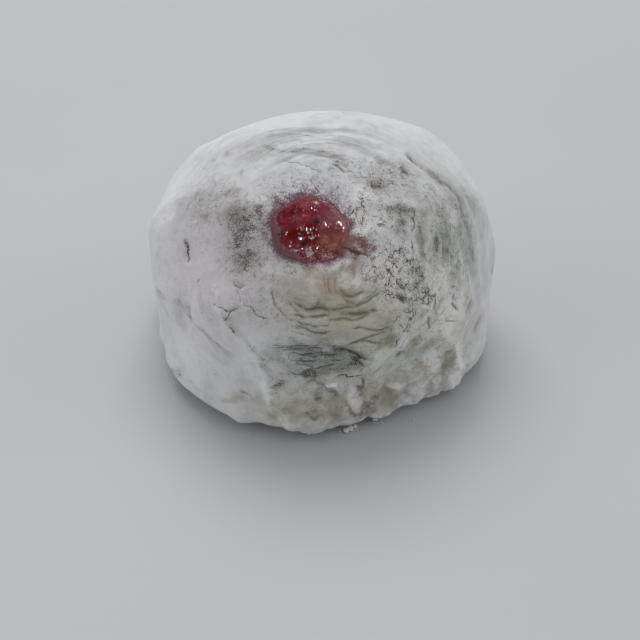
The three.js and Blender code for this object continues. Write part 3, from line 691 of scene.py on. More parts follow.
def add_piece(name, points, faces, attributes=None):
    """A mesh object from points in mm and faces, smooth, with attributes of three values by name."""
    mesh = bpy.data.meshes.new(name)
    mesh.from_pydata(points * MM, [], faces)
    for label, values in (attributes or {}).items():
        layer = mesh.attributes.new(label, "FLOAT_VECTOR", "POINT")
        layer.data.foreach_set("vector", np.ascontiguousarray(values, np.float32).ravel())
    mesh.polygons.foreach_set("use_smooth", np.ones(len(mesh.polygons), bool))
    mesh.update()
    piece = bpy.data.objects.new(name, mesh)
    bpy.context.scene.collection.objects.link(piece)
    return piece


def ring_faces(rings, spokes):
    """Triangles of a closed grid whose points are a first pole, rings of spokes, and a last pole. Each
    square of four neighbours is cut in two, and the poles close the ends."""
    at = 1 + np.arange(rings * spokes).reshape(rings, spokes)
    a, b = at[:-1], np.roll(at[:-1], -1, 1)
    c, d = np.roll(at[1:], -1, 1), at[1:]
    first = np.stack([np.zeros(spokes, int), at[0], np.roll(at[0], -1)], -1)
    last = np.stack([np.full(spokes, at[-1, -1] + 1), np.roll(at[-1], -1), at[-1]], -1)
    squares = [np.stack([a, d, b], -1).reshape(-1, 3), np.stack([b, d, c], -1).reshape(-1, 3)]
    return np.concatenate([*squares, first, last])


def ball_grid(rows, turns):
    """The points of a unit ball for ring_faces, with its poles up and down."""
    up = np.arange(1, rows)[:, None] * np.pi / rows
    around = np.arange(turns) * 2 * np.pi / turns
    rings = [np.sin(up) * np.cos(around), np.sin(up) * np.sin(around), np.cos(up) + 0 * around]
    return np.concatenate([[[0, 0, 1]], np.stack(rings, -1).reshape(-1, 3), [[0, 0, -1]]])


def turned_from(middle, across, angle):
    """Unit directions at angles from a middle direction, towards unit directions across it."""
    return np.cos(angle)[..., None] * middle + np.sin(angle)[..., None] * across


SPOKES = 560
FRONT_SHARE = 0.3  # how much closer the spokes lie in front than on average
OUTER_RINGS, BASE_RINGS, WALL_RINGS = 151, 7, 15
NEAR_TEAR = (0.09, 1.9)  # the first share of each spoke has this many times the average rings


def skin_grid():
    """Directions of the skin's outer points on spokes from the tear round to the far side, ring by ring,
    and how far along its spoke each is: 0 at the tear's edge, 1 at the foot's rim, 2 underneath."""
    fine = np.linspace(0, 2 * np.pi, 4001)
    crowding = np.cumsum(1 - FRONT_SHARE * np.sin(fine))
    turn = np.interp(np.arange(SPOKES) / SPOKES, (crowding - crowding[0]) / np.ptp(crowding), fine)
    right = unit(np.cross(UP, TEAR_DIRECTION))
    across = np.cos(turn)[:, None] * right + np.sin(turn)[:, None] * np.cross(TEAR_DIRECTION, right)

    def inside_tear(angle):
        u, v = tear_place(dome_point(turned_from(TEAR_DIRECTION, across, angle)))
        return np.hypot(u, v) < tear_edge(np.arctan2(v, u))

    def above_foot(angle):
        d = turned_from(TEAR_DIRECTION, across, angle)
        return oval_reach(d) * -d[:, 2] < WAIST_HEIGHT

    edge = halved(np.full(SPOKES, 0.02), np.full(SPOKES, 0.6), inside_tear)
    rim = halved(np.full(SPOKES, 0.7), np.full(SPOKES, 3.05), above_foot)
    share, crowd = NEAR_TEAR
    steps = np.linspace(0, 1, OUTER_RINGS)
    steps = np.interp(steps, [0, share * crowd, 1], [0, share, 1])
    outer = edge + (rim - edge) * steps[:, None]
    base = rim + (np.pi - rim) * (np.arange(1, BASE_RINGS + 1) / (BASE_RINGS + 1))[:, None]
    along = np.concatenate([steps, 1 + np.arange(1, BASE_RINGS + 1) / (BASE_RINGS + 1)])
    angles = np.concatenate([outer, base])
    return turned_from(TEAR_DIRECTION, across, angles), np.repeat(along[:, None], SPOKES, 1)


# Fine relief of the skin. Each noise has its amount in mm on each kind of place.
FINE = {
    "lengthwise": dict(everywhere=0.05, streaky=0.08, beige=0.07, ochre=0.1),
    "crumple": dict(everywhere=0.05, low=0.05, foot_front=0.3, beige=0.12, gritty=0.06),
    "creased": dict(beige=0.15, foot_front=1.0),
    "grains": dict(everywhere=0.04, gritty=0.05),
    "even": dict(bright=0.2, bare=-0.08),
}
# The lumps are flatter on each side: by a share, between angles to the right of the face's middle.
CALM_LEFT = (0.6, (-30, -50), (-130, -110))
CALM_RIGHT = (0.65, (30, 42), (95, 80))
STAIN_WANDER = 2.4  # degrees that the edges of the stains wander
LINE_WANDER = 0.16  # mm that the lines wander
WALL_CROWDING = 1.3  # how much closer the rings of the hollow's wall lie towards the tear


def fine_relief(plain, flow, places):
    """The fine relief: each noise times its amounts on the kinds of places."""
    noises = {
        "lengthwise": cloud(flow / (0.9, 3.6, 3.6), 1, 11, 2),
        "crumple": cloud(plain, 2.1, 12, 3),
        "creased": np.abs(cloud(plain, 2.9, 15, 3)) - 0.22,
        "grains": cloud(plain, 0.9, 14, 2),
        "even": 1.0,
    }
    total = 0.0
    for name, amounts in FINE.items():
        total = total + noises[name] * sum(amount * places[kind] for kind, amount in amounts.items())
    return total


def hollow_wall(edge_rays):
    """The wall of the hollow: rings from the torn edge down round the berry, a little off it."""
    edge_angle = np.arccos(edge_rays @ TEAR_OUTWARD)
    aside = unit(edge_rays - np.cos(edge_angle)[:, None] * TEAR_OUTWARD)
    steps = (np.arange(1, WALL_RINGS + 1) / (WALL_RINGS + 1))[:, None] ** WALL_CROWDING
    angle = edge_angle + (np.pi - edge_angle) * steps
    rays = turned_from(TEAR_OUTWARD, aside, angle)
    gap = between((EDGE_PROUD * 0.4, BERRY_GAP), smooth(0, 0.25, angle - edge_angle))
    return BERRY_MIDDLE + rays * (berry_reach(rays) + gap)[..., None]


def skin_arrays():
    """The skin's points, faces and attributes: the dome with its folds, lumps and fine relief, sunk to the
    berry round the tear, flat underneath, and closed by the wall of the hollow that the berry lies in."""
    grid, along = skin_grid()
    d, along = grid.reshape(-1, 3), along.ravel()
    plain = dome_point(d)
    marks = mark_of(d)
    right = marks[:, 0]
    away = np.radians(np.linalg.norm(marks, axis=1))
    # Along the flow the second and third of these change slowly, and across it the first one changes.
    flow = np.stack([away, dot(d, FACE_RIGHT), dot(d, FACE_UP)], -1) * WAIST_RADIUS

    u, v = tear_place(plain)
    tear_angle, tear_away = np.arctan2(v, u), np.hypot(u, v)
    in_front = dot(plain - TEAR_POINT, TEAR_OUTWARD) > -6
    from_edge = np.where(in_front, np.maximum(tear_away - tear_edge(tear_angle), 0), 99)

    wander = STAIN_WANDER * np.stack([cloud(plain, 1.7, seed, 2) for seed in (5, 6)], -1)
    stain = stain_fields(marks + wander, STAINS, back_stains())
    shaken = plain + LINE_WANDER * np.stack([cloud(plain, 0.9, seed) for seed in (7, 8, 9)], -1)
    cracks, streaks = CRACKS + back_lines(BACK_CRACKS), STREAKS + back_lines(BACK_STREAKS)
    crack_side, crack_strength, crack_dent = line_fields(shaken, d, cracks, CRACK_REACH)
    streak_side, streak_strength, streak_dent = line_fields(shaken, d, streaks, STREAK_REACH)

    low = 1 - smooth(4, 11, plain[:, 2])
    foot_front = low * smooth(-25, -5, right) * smooth(75, 60, right)
    fine = fine_relief(plain, flow, dict(stain, everywhere=1.0, low=low, foot_front=foot_front))
    fine -= crack_dent + streak_dent
    lumps = lump_relief(plain)
    for share, first, last in (CALM_LEFT, CALM_RIGHT):
        lumps *= 1 - share * smooth(*first, right) * smooth(*last, right)
    relief = fold_relief(plain, d) + lumps + uneven_relief(plain) + fine
    relief = np.maximum(relief * (1 - smooth(1, 1.5, along)), DEEPEST)
    outer = dome_point(d, relief)

    # Round the tear the skin sinks to the berry.
    rays = unit(outer - BERRY_MIDDLE)
    on_berry = BERRY_MIDDLE + rays * (berry_reach(rays) + EDGE_PROUD)[:, None]
    risen = smooth(0, 1, from_edge / round_tear(SINK_WIDTH, tear_angle))[:, None]
    outer = on_berry + (outer - on_berry) * risen

    wall = hollow_wall(rays[:SPOKES])
    far_end = BERRY_MIDDLE - TEAR_OUTWARD * (berry_reach(-TEAR_OUTWARD) + BERRY_GAP)
    underneath = dome_point(-TEAR_DIRECTION)
    points = np.concatenate([far_end[None], wall[::-1].reshape(-1, 3), outer, underneath[None]])
    faces = ring_faces(WALL_RINGS + OUTER_RINGS + BASE_RINGS, SPOKES)

    juice_width = round_tear(JUICE_WIDTH, tear_angle) * (1 + 0.35 * cloud(plain, 0.8, 21, 2))
    film = 1 - np.clip(from_edge / np.maximum(juice_width, 0.05), 0, 1)
    film = np.maximum(film * round_tear(JUICE_DEPTH, tear_angle), stain["film"])
    # Painted shade and light: the dough's grey is laid into the hollows of the fine relief and taken off its
    # rises, most on beige, low and streaky places.
    relief_shade = smooth(0.02, 0.25, -fine) - 0.6 * smooth(0.06, 0.3, fine)
    relief_shade *= 0.25 + 0.75 * np.maximum.reduce([stain["beige"], low, stain["streaky"]])
    made = {
        "marks": np.stack([stain["bare"], stain["ochre"], stain["thin"]], -1),
        "spots": np.stack([stain["brown"], stain["bright"], stain["crackle"]], -1),
        "zones": np.stack([stain["streaky"], stain["beige"], stain["pink"]], -1),
        "torn": np.stack([film, relief_shade, stain["gritty"]], -1),
        "flow": flow,
        "crack_side": crack_side,
        "crack_strength": crack_strength,
        "streak_side": streak_side,
        "streak_strength": streak_strength,
    }
    inner = 1 + WALL_RINGS * SPOKES
    filled = {}
    for label, values in made.items():
        filled[label] = np.zeros((len(points), 3))
        filled[label][inner:-1] = values
    for label in ("crack_side", "streak_side"):
        filled[label][:inner] = FAR_OFF
    filled["torn"][:inner, 0] = 1  # the hollow is soaked with juice
    return points, faces, filled


BERRY_SPOKES = 320
BERRY_OPEN_RINGS, BERRY_HIDDEN_RINGS = 100, 34
BERRY_OPEN_ANGLE = np.radians(38)
FLESH_WAVES = [(0.09, 1.8, 41), (0.01, 0.5, 42)]  # height in mm, size and seed
SWOLLEN_EDGE = 0.05  # mm above its oval that the flesh stands along the tear's edge
UNDER_SKIN = 0.5  # mm below its oval that the berry stays outside the tear
# Wet pimples of the flesh that catch the light: mm right and up of the tear's middle, and mm across.
PIMPLES = [
    (-1.35, -0.2, 0.8), (-0.95, -0.45, 0.7), (-0.85, 0.1, 0.5), (0.3, -0.1, 0.6), (0.6, -1.05, 0.6),
    (-3.3, -0.65, 0.6), (2.45, 0.5, 0.8), (3.4, 0.2, 0.7), (-1.1, 2.7, 0.7), (0.0, 3.0, 0.6),
    (0.6, 2.95, 0.35), (1.0, 2.85, 0.3), (-2.2, 2.2, 0.4), (3.3, 2.65, 0.6), (-4.5, 1.55, 0.5),
    (-4.6, 1.0, 0.5), (-4.25, 0.5, 0.5), (-2.7, -2.6, 0.6), (-2.25, -3.2, 0.6), (-1.7, -2.5, 0.5),
    (-1.4, -3.15, 0.5), (-0.95, -2.9, 0.45), (-0.05, -1.4, 0.4), (0.35, -1.45, 0.4), (1.0, -2.5, 0.5),
    (-2.6, -2.0, 0.4), (-3.0, 3.0, 0.4), (-0.1, -0.75, 0.4),
]
PIMPLE_RISE = 0.18  # of its width
SEED_PIT = dict(depth=0.05, width=0.5)
# Patches of the flesh by what shows: strength, mm right and up of the tear's middle, half width and height.
# The milky and dark ones hold painted light and shade, as said above them.
PATCHES = {
    "core": [(1, -1.9, -1.0, 1.3, 1.2), (1, 0.1, -0.6, 1.5, 1.5)],
    # Painted highlight: the first milky patch is a pale band of light across the middle; the second is the
    # mauve of the upper right.
    "milky_sheen": [(0.35, -1.3, 1.1, 1.6, 0.6), (1, 3.2, 1.7, 2.1, 1.7)],
    "brownish": [(1, 3.0, -1.7, 2.3, 1.7), (1, 2.5, -3.2, 1.9, 1.0)],
    "fleck": [(1, -0.1, -3.1, 0.8, 0.9)],
    # Painted shade: a dark line along the crease where a lobe of skin meets the berry at the lower right.
    "dark": [(1, 3.6, -2.7, 1.3, 0.3)],
    "dusky": [(1, -2.6, -2.8, 2.0, 1.0)],
    "dusty": [(0.9, 2.3, -3.4, 2.0, 0.9)],
}
# How the dressed seeds differ from the driving sizes: shares of them, and mm sunk, more under skin or film.
DRESSED_SEED = dict(width=0.58, length=0.5, thick=2, sunk=0.2, covered=0.7)


def berry_turn():
    """The rotation matrix of the shortest turn from the Y axis to the berry's length."""
    y = np.array([0.0, 1.0, 0.0])
    about, cosine = np.cross(y, BERRY_AXIS), BERRY_AXIS[1]
    skew = np.array([[0, -about[2], about[1]], [about[2], 0, -about[0]], [-about[1], about[0], 0]])
    return np.eye(3) + skew + skew @ skew / (1 + cosine)


def seed_places():
    """The places of the seeds, and the direction out at each: staggered rings round the berry's length."""
    form = SEED_RINGS
    rings = round((form["last"] - form["first"]) / form["apart"]) + 1
    ring, step = np.divmod(np.arange(rings * form["seeds"]), form["seeds"])
    along = form["first"] + ring * form["apart"]
    turn = np.radians(form["turn"]) + (step + ring % 2 / 2) * 2 * np.pi / form["seeds"]
    length = np.where(along > 0, BERRY_TIP[0], BERRY_TOP[0])
    power = np.where(along > 0, BERRY_TIP[1], BERRY_TOP[1])
    radius = BERRY_RADIUS * (1 - (np.abs(along) / length) ** power) ** (1 / power)
    local = np.stack([radius * np.sin(turn), along, radius * np.cos(turn)], -1)
    outward = np.stack([np.sin(turn), 0 * turn, np.cos(turn)], -1)
    return BERRY_MIDDLE + local @ berry_turn().T, outward @ berry_turn().T


def covered_seeds():
    """Which seeds lie under the skin, or under the film of dough that still covers the berry's right side: 1
    for those, 0 for others."""
    u, v = tear_place(seed_places()[0])
    return (((u > 1.5) & (v < 0)) | (np.hypot(u, v) > tear_edge(np.arctan2(v, u)) - 0.7)).astype(float)


def berry_rays():
    """Directions from the berry's middle, on spokes from the middle of the tear, for ring_faces."""
    turn = np.arange(BERRY_SPOKES) * 2 * np.pi / BERRY_SPOKES
    across = np.cos(turn)[:, None] * TEAR_RIGHT + np.sin(turn)[:, None] * TEAR_UP
    open_part = BERRY_OPEN_ANGLE * np.arange(1, BERRY_OPEN_RINGS + 1) / BERRY_OPEN_RINGS
    hidden = np.linspace(BERRY_OPEN_ANGLE, np.pi, BERRY_HIDDEN_RINGS + 2)[1:-1]
    angles = np.concatenate([open_part, hidden])[:, None].repeat(BERRY_SPOKES, 1)
    rays = turned_from(TEAR_OUTWARD, across, angles).reshape(-1, 3)
    return np.concatenate([TEAR_OUTWARD[None], rays, -TEAR_OUTWARD[None]])


def inside_tear_by(rays):
    """How far inside the tear each ray from the berry's middle leaves the smooth dome, in mm."""
    near, far = np.zeros(len(rays)), np.full(len(rays), 40.0)
    leaves = halved(near, far, lambda s: in_dome(BERRY_MIDDLE + rays * s[:, None]))
    u, v = tear_place(BERRY_MIDDLE + rays * leaves[:, None])
    return tear_edge(np.arctan2(v, u)) - np.hypot(u, v)


def seed_pits(points):
    """1 in the middle of each bare seed's pit, 0 well outside the pits."""
    pits = np.zeros(len(points))
    for place, covered in zip(seed_places()[0], covered_seeds()):
        distance = np.linalg.norm(points - place, axis=1) / SEED_PIT["width"]
        pits = np.maximum(pits, (1 - covered) * np.exp(-(distance**2)))
    return pits


def berry_arrays():
    """The berry's points, faces and attributes: its oval, raised by the uneven flesh and by pimples where it
    is bare, sunk round each seed, and kept under the skin outside the tear."""
    rays = berry_rays()
    plain = BERRY_MIDDLE + rays * berry_reach(rays)[:, None]
    u, v = tear_place(plain)
    turn = np.arctan2(v, u)
    shown = dot(rays, TEAR_OUTWARD) > np.cos(BERRY_OPEN_ANGLE)
    inside = inside_tear_by(rays)
    pits = seed_pits(plain)

    flesh = sum(height * cloud(plain, size, seed, 2) for height, size, seed in FLESH_WAVES)
    for right, up, wide in PIMPLES:
        distance = np.hypot(u - right, v - up) / (wide / 2)
        flesh += shown * PIMPLE_RISE * wide * np.exp(-(distance**2) * 1.2)
    flesh -= SEED_PIT["depth"] * pits
    swollen = shown * (1 - smooth(0.2, 1.1, np.abs(inside)))
    flesh += (SWOLLEN_EDGE - flesh) * swollen
    off_axis = np.arccos(np.clip(dot(rays, TEAR_OUTWARD), -1, 1))
    flesh -= UNDER_SKIN * np.where(shown, smooth(-0.15, -1.2, inside), 1) * smooth(1.3, 0.8, off_axis)

    shaken = 0.35 * cloud(plain, 1.3, 43, 2)

    def spot(strength, right, up, wide, tall):
        x, y = (u - right + shaken) / wide, (v - up - shaken) / tall
        return strength * shown * np.exp(-(x**2) - y**2)

    patch = {kind: np.maximum.reduce([spot(*place) for place in PATCHES[kind]]) for kind in PATCHES}
    rimmed = (inside + 0.55 * cloud(plain, 1.5, 44, 3)) / round_tear(RIM_WIDTH, turn)
    rim = shown * (1 - smooth(0, 1, rimmed))
    dust = 1 - smooth(-0.7, 1.0, inside + 0.6 * cloud(plain, 1.2, 45, 3))
    dust = shown * np.maximum(dust * round_tear(RIM_DUST, turn), patch["dusty"])
    pale = rim * smooth(-2.6, -4.4, u)
    made = {
        "flesh": np.stack([patch["core"], rim, patch["brownish"]], -1),
        # The veil's milky sheen is partly a painted highlight, and its dark patch is painted crease shade.
        "veil": np.stack([patch["milky_sheen"], patch["fleck"], patch["dark"]], -1),
        # The last value of the bits is painted shade of the seed pits, with the dark of the sunken seeds.
        "bits": np.stack([patch["dusky"], dust, smooth(0.15, 0.85, pits)], -1),
        "edge": np.repeat(pale[:, None], 3, 1),
    }
    rings = BERRY_OPEN_RINGS + BERRY_HIDDEN_RINGS
    return plain + rays * flesh[:, None], ring_faces(rings, BERRY_SPOKES), made


def drops(places, outward, lengthwise, size, turns=10, rows=7):
    """Small drops on the given places: each a squashed ball, narrower towards one end."""
    ball = ball_grid(rows, turns)[:, [0, 2, 1]]
    ball[:, 0] *= 1 - 0.3 * ball[:, 1]
    aside = unit(np.cross(lengthwise, outward))
    axes = np.stack([aside, np.cross(outward, aside), outward], 1)
    points = places[:, None] + (ball * size / 2) @ axes
    faces = ring_faces(rows - 1, turns)[:, ::-1]
    every = faces[None] + (np.arange(len(places)) * len(ball))[:, None, None]
    return points.reshape(-1, 3), every.reshape(-1, 3)


def seed_arrays():
    """The dressed seeds: smaller than the driving sizes, because the wet flesh hides their rims."""
    form = DRESSED_SEED
    at, outward = seed_places()
    at = at - outward * (form["sunk"] + form["covered"] * covered_seeds())[:, None]
    width, length, proud = SEED["width"], SEED["length"], SEED["proud"]
    size = np.array([width * form["width"], length * form["length"], proud * form["thick"]])
    return drops(at, outward, BERRY_AXIS, size)


# Starch crumbs on the floor beside the foot: where the middle of each is, and its size in mm.
CRUMBS = [
    (7.5, -18.2, 0.75), (3.5, -20.7, 0.8), (4.1, -20.2, 0.9), (4.8, -19.7, 0.7), (2.7, -20.6, 0.4),
    (8.4, -18.6, 0.3), (-1.5, -21.2, 0.28), (12.9, -17.9, 0.3), (5.6, -20.6, 0.25), (-9.6, -20.9, 0.26),
]


def crumb_arrays(rows=12, turns=18):
    """Crumbs as lumpy balls: a ball's grid, each point moved out or in by noise, flattened a little."""
    ball, faces = ball_grid(rows, turns), ring_faces(rows - 1, turns)
    points, every = [], []
    for i, (right, back, size) in enumerate(CRUMBS):
        lumpy = 1 + 0.35 * cloud(ball + 9 * i, 0.8, 60, 2)
        lump = ball * lumpy[:, None] * size / 2 * (1, 1, 0.75)
        points.append(lump + (right, back, -lump[:, 2].min()))
        every.append(faces + i * len(ball))
    return np.concatenate(points), np.concatenate(every)


# ---- materials ----
COLOUR = dict(data_type="RGBA")  # a Mix node that mixes colours
EASED = dict(interpolation_type="SMOOTHSTEP")  # a Map Range node that goes smoothly from 0 to 1
# What a Math node does with its inputs.
TIMES, TIMES_PLUS = dict(operation="MULTIPLY"), dict(operation="MULTIPLY_ADD")
PLUS, MINUS = dict(operation="ADD"), dict(operation="SUBTRACT")
LARGER, UNSIGNED = dict(operation="MAXIMUM"), dict(operation="ABSOLUTE")


def per_mm(size):
    """The scale of a texture on Object coordinates, in metres, whose features are this many mm across."""
    return 1 / (size * MM)


def node(tree, kind, inputs=(), **settings):
    """Adds a node with its settings and links. The inputs are a row in the node's own order, or keyed by
    name, and each is another node, one of its outputs, or a plain value."""
    made = tree.nodes.new("ShaderNode" + kind)
    for key, value in settings.items():
        setattr(made, key, value)
    live = [socket for socket in made.inputs if socket.enabled]
    for key, value in inputs.items() if isinstance(inputs, dict) else enumerate(inputs):
        socket = live[key] if isinstance(key, int) else next(s for s in live if s.name == key)
        if isinstance(value, bpy.types.Node):
            value = next(s for s in value.outputs if s.enabled)
        if isinstance(value, bpy.types.NodeSocket):
            tree.links.new(value, socket)
        else:
            socket.default_value = value
    return made


def new_material(name):
    """A material, the function that adds to its nodes, its Object coordinates, and a function that reads the
    three values of an attribute."""
    material = bpy.data.materials.new(name)
    material.use_nodes = True
    material.node_tree.nodes.clear()
    add = functools.partial(node, material.node_tree)

    def values(label):
        return add("SeparateXYZ", [add("Attribute", attribute_name=label).outputs["Vector"]]).outputs

    return material, add, add("TexCoord").outputs["Object"], values


def layered(add, base, layers):
    """A colour with others laid over it in turn, each by its amount times its strength."""
    for amount, strength, colour in layers:
        share = add("Math", (amount, strength), **TIMES, use_clamp=True)
        base = add("Mix", (share, base, linear(colour) if isinstance(colour, str) else colour), **COLOUR)
    return base


def weighed(add, amounts, total=0.0):
    """A total with amounts added to it, each times its strength."""
    for amount, strength in amounts:
        total = add("Math", (amount, strength, total), **TIMES_PLUS)
    return total


def mochi_material():
    """Pounded rice dusted with starch: a dead-matt white powder, clumped and cracked, over a grey-beige
    dough with a slight sheen that shows wherever the powder was rubbed off or dragged thin. The dough's grey
    is also laid into the hollows of the fine relief as painted shade."""
    material, add, place, values = new_material("pounded_rice_dusted_with_starch")
    bare, ochre, thin = values("marks")
    brown, bright, crackle = values("spots")
    streaky, beige, pink = values("zones")
    film, relief_shade, gritty = values("torn")

    # Single grains stuck together, their clumps, and drifts left by the palm of a hand.
    speckle = add("TexNoise", {"Vector": place, "Scale": per_mm(0.17), "Detail": 3.0, "Roughness": 0.7})
    clumps = add("TexNoise", {"Vector": place, "Scale": per_mm(1.0), "Detail": 3.0, "Roughness": 0.6})
    drifts = add("TexNoise", {"Vector": place, "Scale": per_mm(4.5), "Detail": 4.0, "Roughness": 0.6})
    torn_up = {"Detail": 5.0, "Roughness": 0.65, "Distortion": 0.4}
    flakes = add("TexNoise", {"Vector": place, "Scale": per_mm(1.4), **torn_up})
    # Along the flow of the skin: fine hairs and wider bands.
    flow = add("Attribute", attribute_name="flow").outputs["Vector"]
    combed = add("Mapping", {"Vector": flow, "Scale": (1 / 0.45, 1 / 3.4, 1 / 3.4)})
    drawn_out = {"Scale": 1.0, "Detail": 3.0, "Roughness": 0.65, "Distortion": 0.5}
    hairs = add("TexNoise", {"Vector": combed, **drawn_out})
    swept = add("Mapping", {"Vector": flow, "Scale": (1 / 1.5, 1 / 6, 1 / 6), "Location": (3.0, 5.0, 7.0)})
    bands = add("TexNoise", {"Vector": swept, **drawn_out, "Roughness": 0.6, "Distortion": 0.6})

    lone = add("Math", (speckle, 0.5), **MINUS)
    clumped = add("Math", (clumps, 0.5), **MINUS)
    grain = add("Math", (lone, 2.6), **TIMES)
    grain = add("Math", (clumped, 1.8, grain), **TIMES_PLUS)
    hair = add("MapRange", (hairs, 0.5, 0.68), **EASED)
    band = add("MapRange", (bands, 0.42, 0.62), **EASED)
    hollow = add("MapRange", (flakes, 0.55, 0.47), **EASED)
    hollow = add("Math", (hollow, gritty), **TIMES)

    # Lines are less ragged on bare and dragged dough, and wider on bare dough.
    smoothed = add("Math", (ochre, streaky), **LARGER)
    ragged = add("MapRange", (smoothed, 0.0, 0.6, 1.0, 0.2))
    less_on_ochre = add("Math", (ochre, -0.4, 1.0), **TIMES_PLUS)

    def lines(label, wobble_size, wobble, soft_from, soft_to):
        """The strongest of the groups of lines, each a soft band across its distance, made to wander."""
        rough = {"Detail": 2.0, "Roughness": 0.65}
        waver = add("TexNoise", {"Vector": place, "Scale": per_mm(wobble_size), **rough})
        waver = add("Math", (waver, wobble, -0.5 * wobble), **TIMES_PLUS)
        waver = add("Math", (waver, ragged), **TIMES)
        found = 0.0
        for side, strength in zip(values(label + "_side"), values(label + "_strength")):
            across = add("Math", (side, waver), **PLUS)
            across = add("Math", (across,), **UNSIGNED)
            across = add("Math", (across, less_on_ochre), **TIMES)
            inside = add("MapRange", (across, soft_to, soft_from), **EASED)
            line = add("Math", (inside, strength), **TIMES)
            found = add("Math", (found, line), **LARGER)
        return found

    cracks = lines("crack", 0.5, 5.0, 0.15, 0.9)
    broken = add("MapRange", (clumps, 0.3, 0.52, 0.25, 1.0), **EASED)
    for share in (broken, less_on_ochre):
        cracks = add("Math", (cracks, share), **TIMES)
    dragged = lines("streak", 0.8, 3.0, 0.1, 2.2)
    combed_thin = add("MapRange", (hairs, 0.38, 0.58, 0.5, 1.0), **EASED)
    dragged = add("Math", (dragged, combed_thin), **TIMES)

    # Where the starch has dried into small plates, dark gaps part them. Hairlines run through the rest.
    shaken = add("TexNoise", {"Vector": place, "Scale": per_mm(0.6), "Detail": 2.0}).outputs["Color"]
    shaken = add("VectorMath", (shaken, (1.0 * MM,) * 3, place), **TIMES_PLUS)
    dotted = add("Math", (lone, 1.5, clumps), **TIMES_PLUS)
    crackled = add("MapRange", (crackle, 0.15, 0.6), **EASED)
    clustered = add("MapRange", (flakes, 0.46, 0.56), **EASED)
    clustered = add("Math", (clustered, crackled), **TIMES)
    for size, wide, thin_out, where in (
        (0.85, 0.15, (0.48, 0.57), clustered),
        (1.5, 0.05, (0.46, 0.54), crackled),
        (1.2, 0.05, (0.5, 0.56), gritty),
    ):
        plates = add("TexVoronoi", {"Vector": shaken, "Scale": per_mm(size)}, feature="DISTANCE_TO_EDGE")
        gaps = add("MapRange", (plates, wide, 0.4 * wide), **EASED)
        for share in (add("MapRange", (dotted, *thin_out), **EASED), where):
            gaps = add("Math", (gaps, share), **TIMES)
        cracks = add("Math", (cracks, gaps), **LARGER, use_clamp=True)

    # How far the powder is rubbed off: it thins to a grey veil first, and then shows dark grain by grain.
    streaked = add("Math", (streaky, 2.0), operation="POWER")
    streaked = add("Math", (streaked, hair), **TIMES)
    rubbed = weighed(add, [(bare, 1.1), (dragged, 1.0), (streaked, 1.0), (hollow, 0.2)])
    spotted = weighed(add, [(rubbed, 0.8), (grain, 1.0)])
    specks = add("MapRange", (spotted, 0.5, 1.25), **EASED)
    on_powder = add("Math", (ochre, -0.8, 1.0), **TIMES_PLUS)
    specks = add("Math", (specks, on_powder), **TIMES)
    crystals = add("MapRange", (lone, -0.07, -0.15), **EASED)
    rough = add("Math", (rubbed, gritty), **LARGER)
    crystals = add("Math", (crystals, rough), **TIMES)
    coarse = add("Math", (gritty, 0.4, 0.14), **TIMES_PLUS)
    drifted = add("MapRange", (drifts, 0.42, 0.7), **EASED)
    # The relief shade is painted shade in the hollows of the fine relief.
    veiled = [(rubbed, 0.65), (thin, 0.5), (drifted, 0.25), (hollow, 0.22), (relief_shade, 0.4), (bright, -0.5)]
    veiled.append((crackle, -0.25))
    for first, second, strength in (
        (streaky, band, 0.65),
        (streaky, hair, 0.2),
        (ochre, hair, 0.3),
        (ochre, band, 0.25),
        (grain, coarse, 1.0),
    ):
        veiled.append((add("Math", (first, second), **TIMES), strength))
    veil = weighed(add, veiled)

    powder = layered(
        add,
        linear("dddee2"),
        [
            (pink, 0.6, "c9c0c4"),
            (beige, 0.7, "cccebf"),
            (ochre, 0.85, "bdb199"),
            (brown, 0.7, "a58e79"),
            (bright, 0.8, "f0efec"),
            (crackle, 0.5, "ebe6df"),
        ],
    )
    rice = [(beige, 0.6, "9a9d8f"), (ochre, 0.8, "998e74"), (streaky, 0.9, "8b908e")]
    dough = layered(add, linear("a39e99"), rice)
    rice_in_grains = [(pink, 0.7, "62565a"), (ochre, 0.8, "6d6248"), (streaky, 0.7, "3b3d3e")]
    under = layered(add, linear("57514d"), rice_in_grains)
    skin = layered(add, powder, [(veil, 1.0, dough), (specks, 0.85, under), (crystals, 0.6, "e9e8e6")])
    gap = [(ochre, 1.0, "766a4c"), (streaky, 0.8, "3c3f43"), (film, 0.9, "3c1418")]
    line_colour = layered(add, linear("362b25"), gap)

    # Juice drawn into the skin: single mauve grains where the powder is thick, dark red at the edge.
    soaked = add("Math", (grain, 0.7, film), **TIMES_PLUS)
    juicy = add("MapRange", (soaked, 0.2, 0.85), **EASED)
    deep = add("MapRange", (film, 0.3, 0.85), **EASED)
    juices = [(deep, 1.0, "71424f"), (pink, 0.8, "755763"), (brown, 0.8, "6f4539")]
    juice = layered(add, linear("93727e"), juices)
    skin = layered(add, skin, [(juicy, 0.96, juice), (cracks, 0.9, line_colour)])

    roughness = weighed(add, [(veil, -0.2), (juicy, -0.45)], 0.95)
    gravel = add("Math", (speckle, gritty), **TIMES)
    raised = [(speckle, 0.08), (gravel, 0.12), (clumps, 0.14)]
    height = weighed(add, raised + [(specks, -0.05), (cracks, -0.15), (hair, -0.02), (hollow, -0.1)])
    finish = {
        "Base Color": skin,
        "Roughness": roughness,
        "Normal": add("Bump", {"Strength": 1.0, "Distance": MM, "Height": height}),
        "Diffuse Roughness": 0.6,
        "Specular IOR Level": 0.35,
        "Subsurface Weight": 0.12,
        "Subsurface Radius": (1.0, 0.85, 0.7),
        "Subsurface Scale": 0.7 * MM,
    }
    add("OutputMaterial", {"Surface": add("BsdfPrincipled", finish)})
    return material


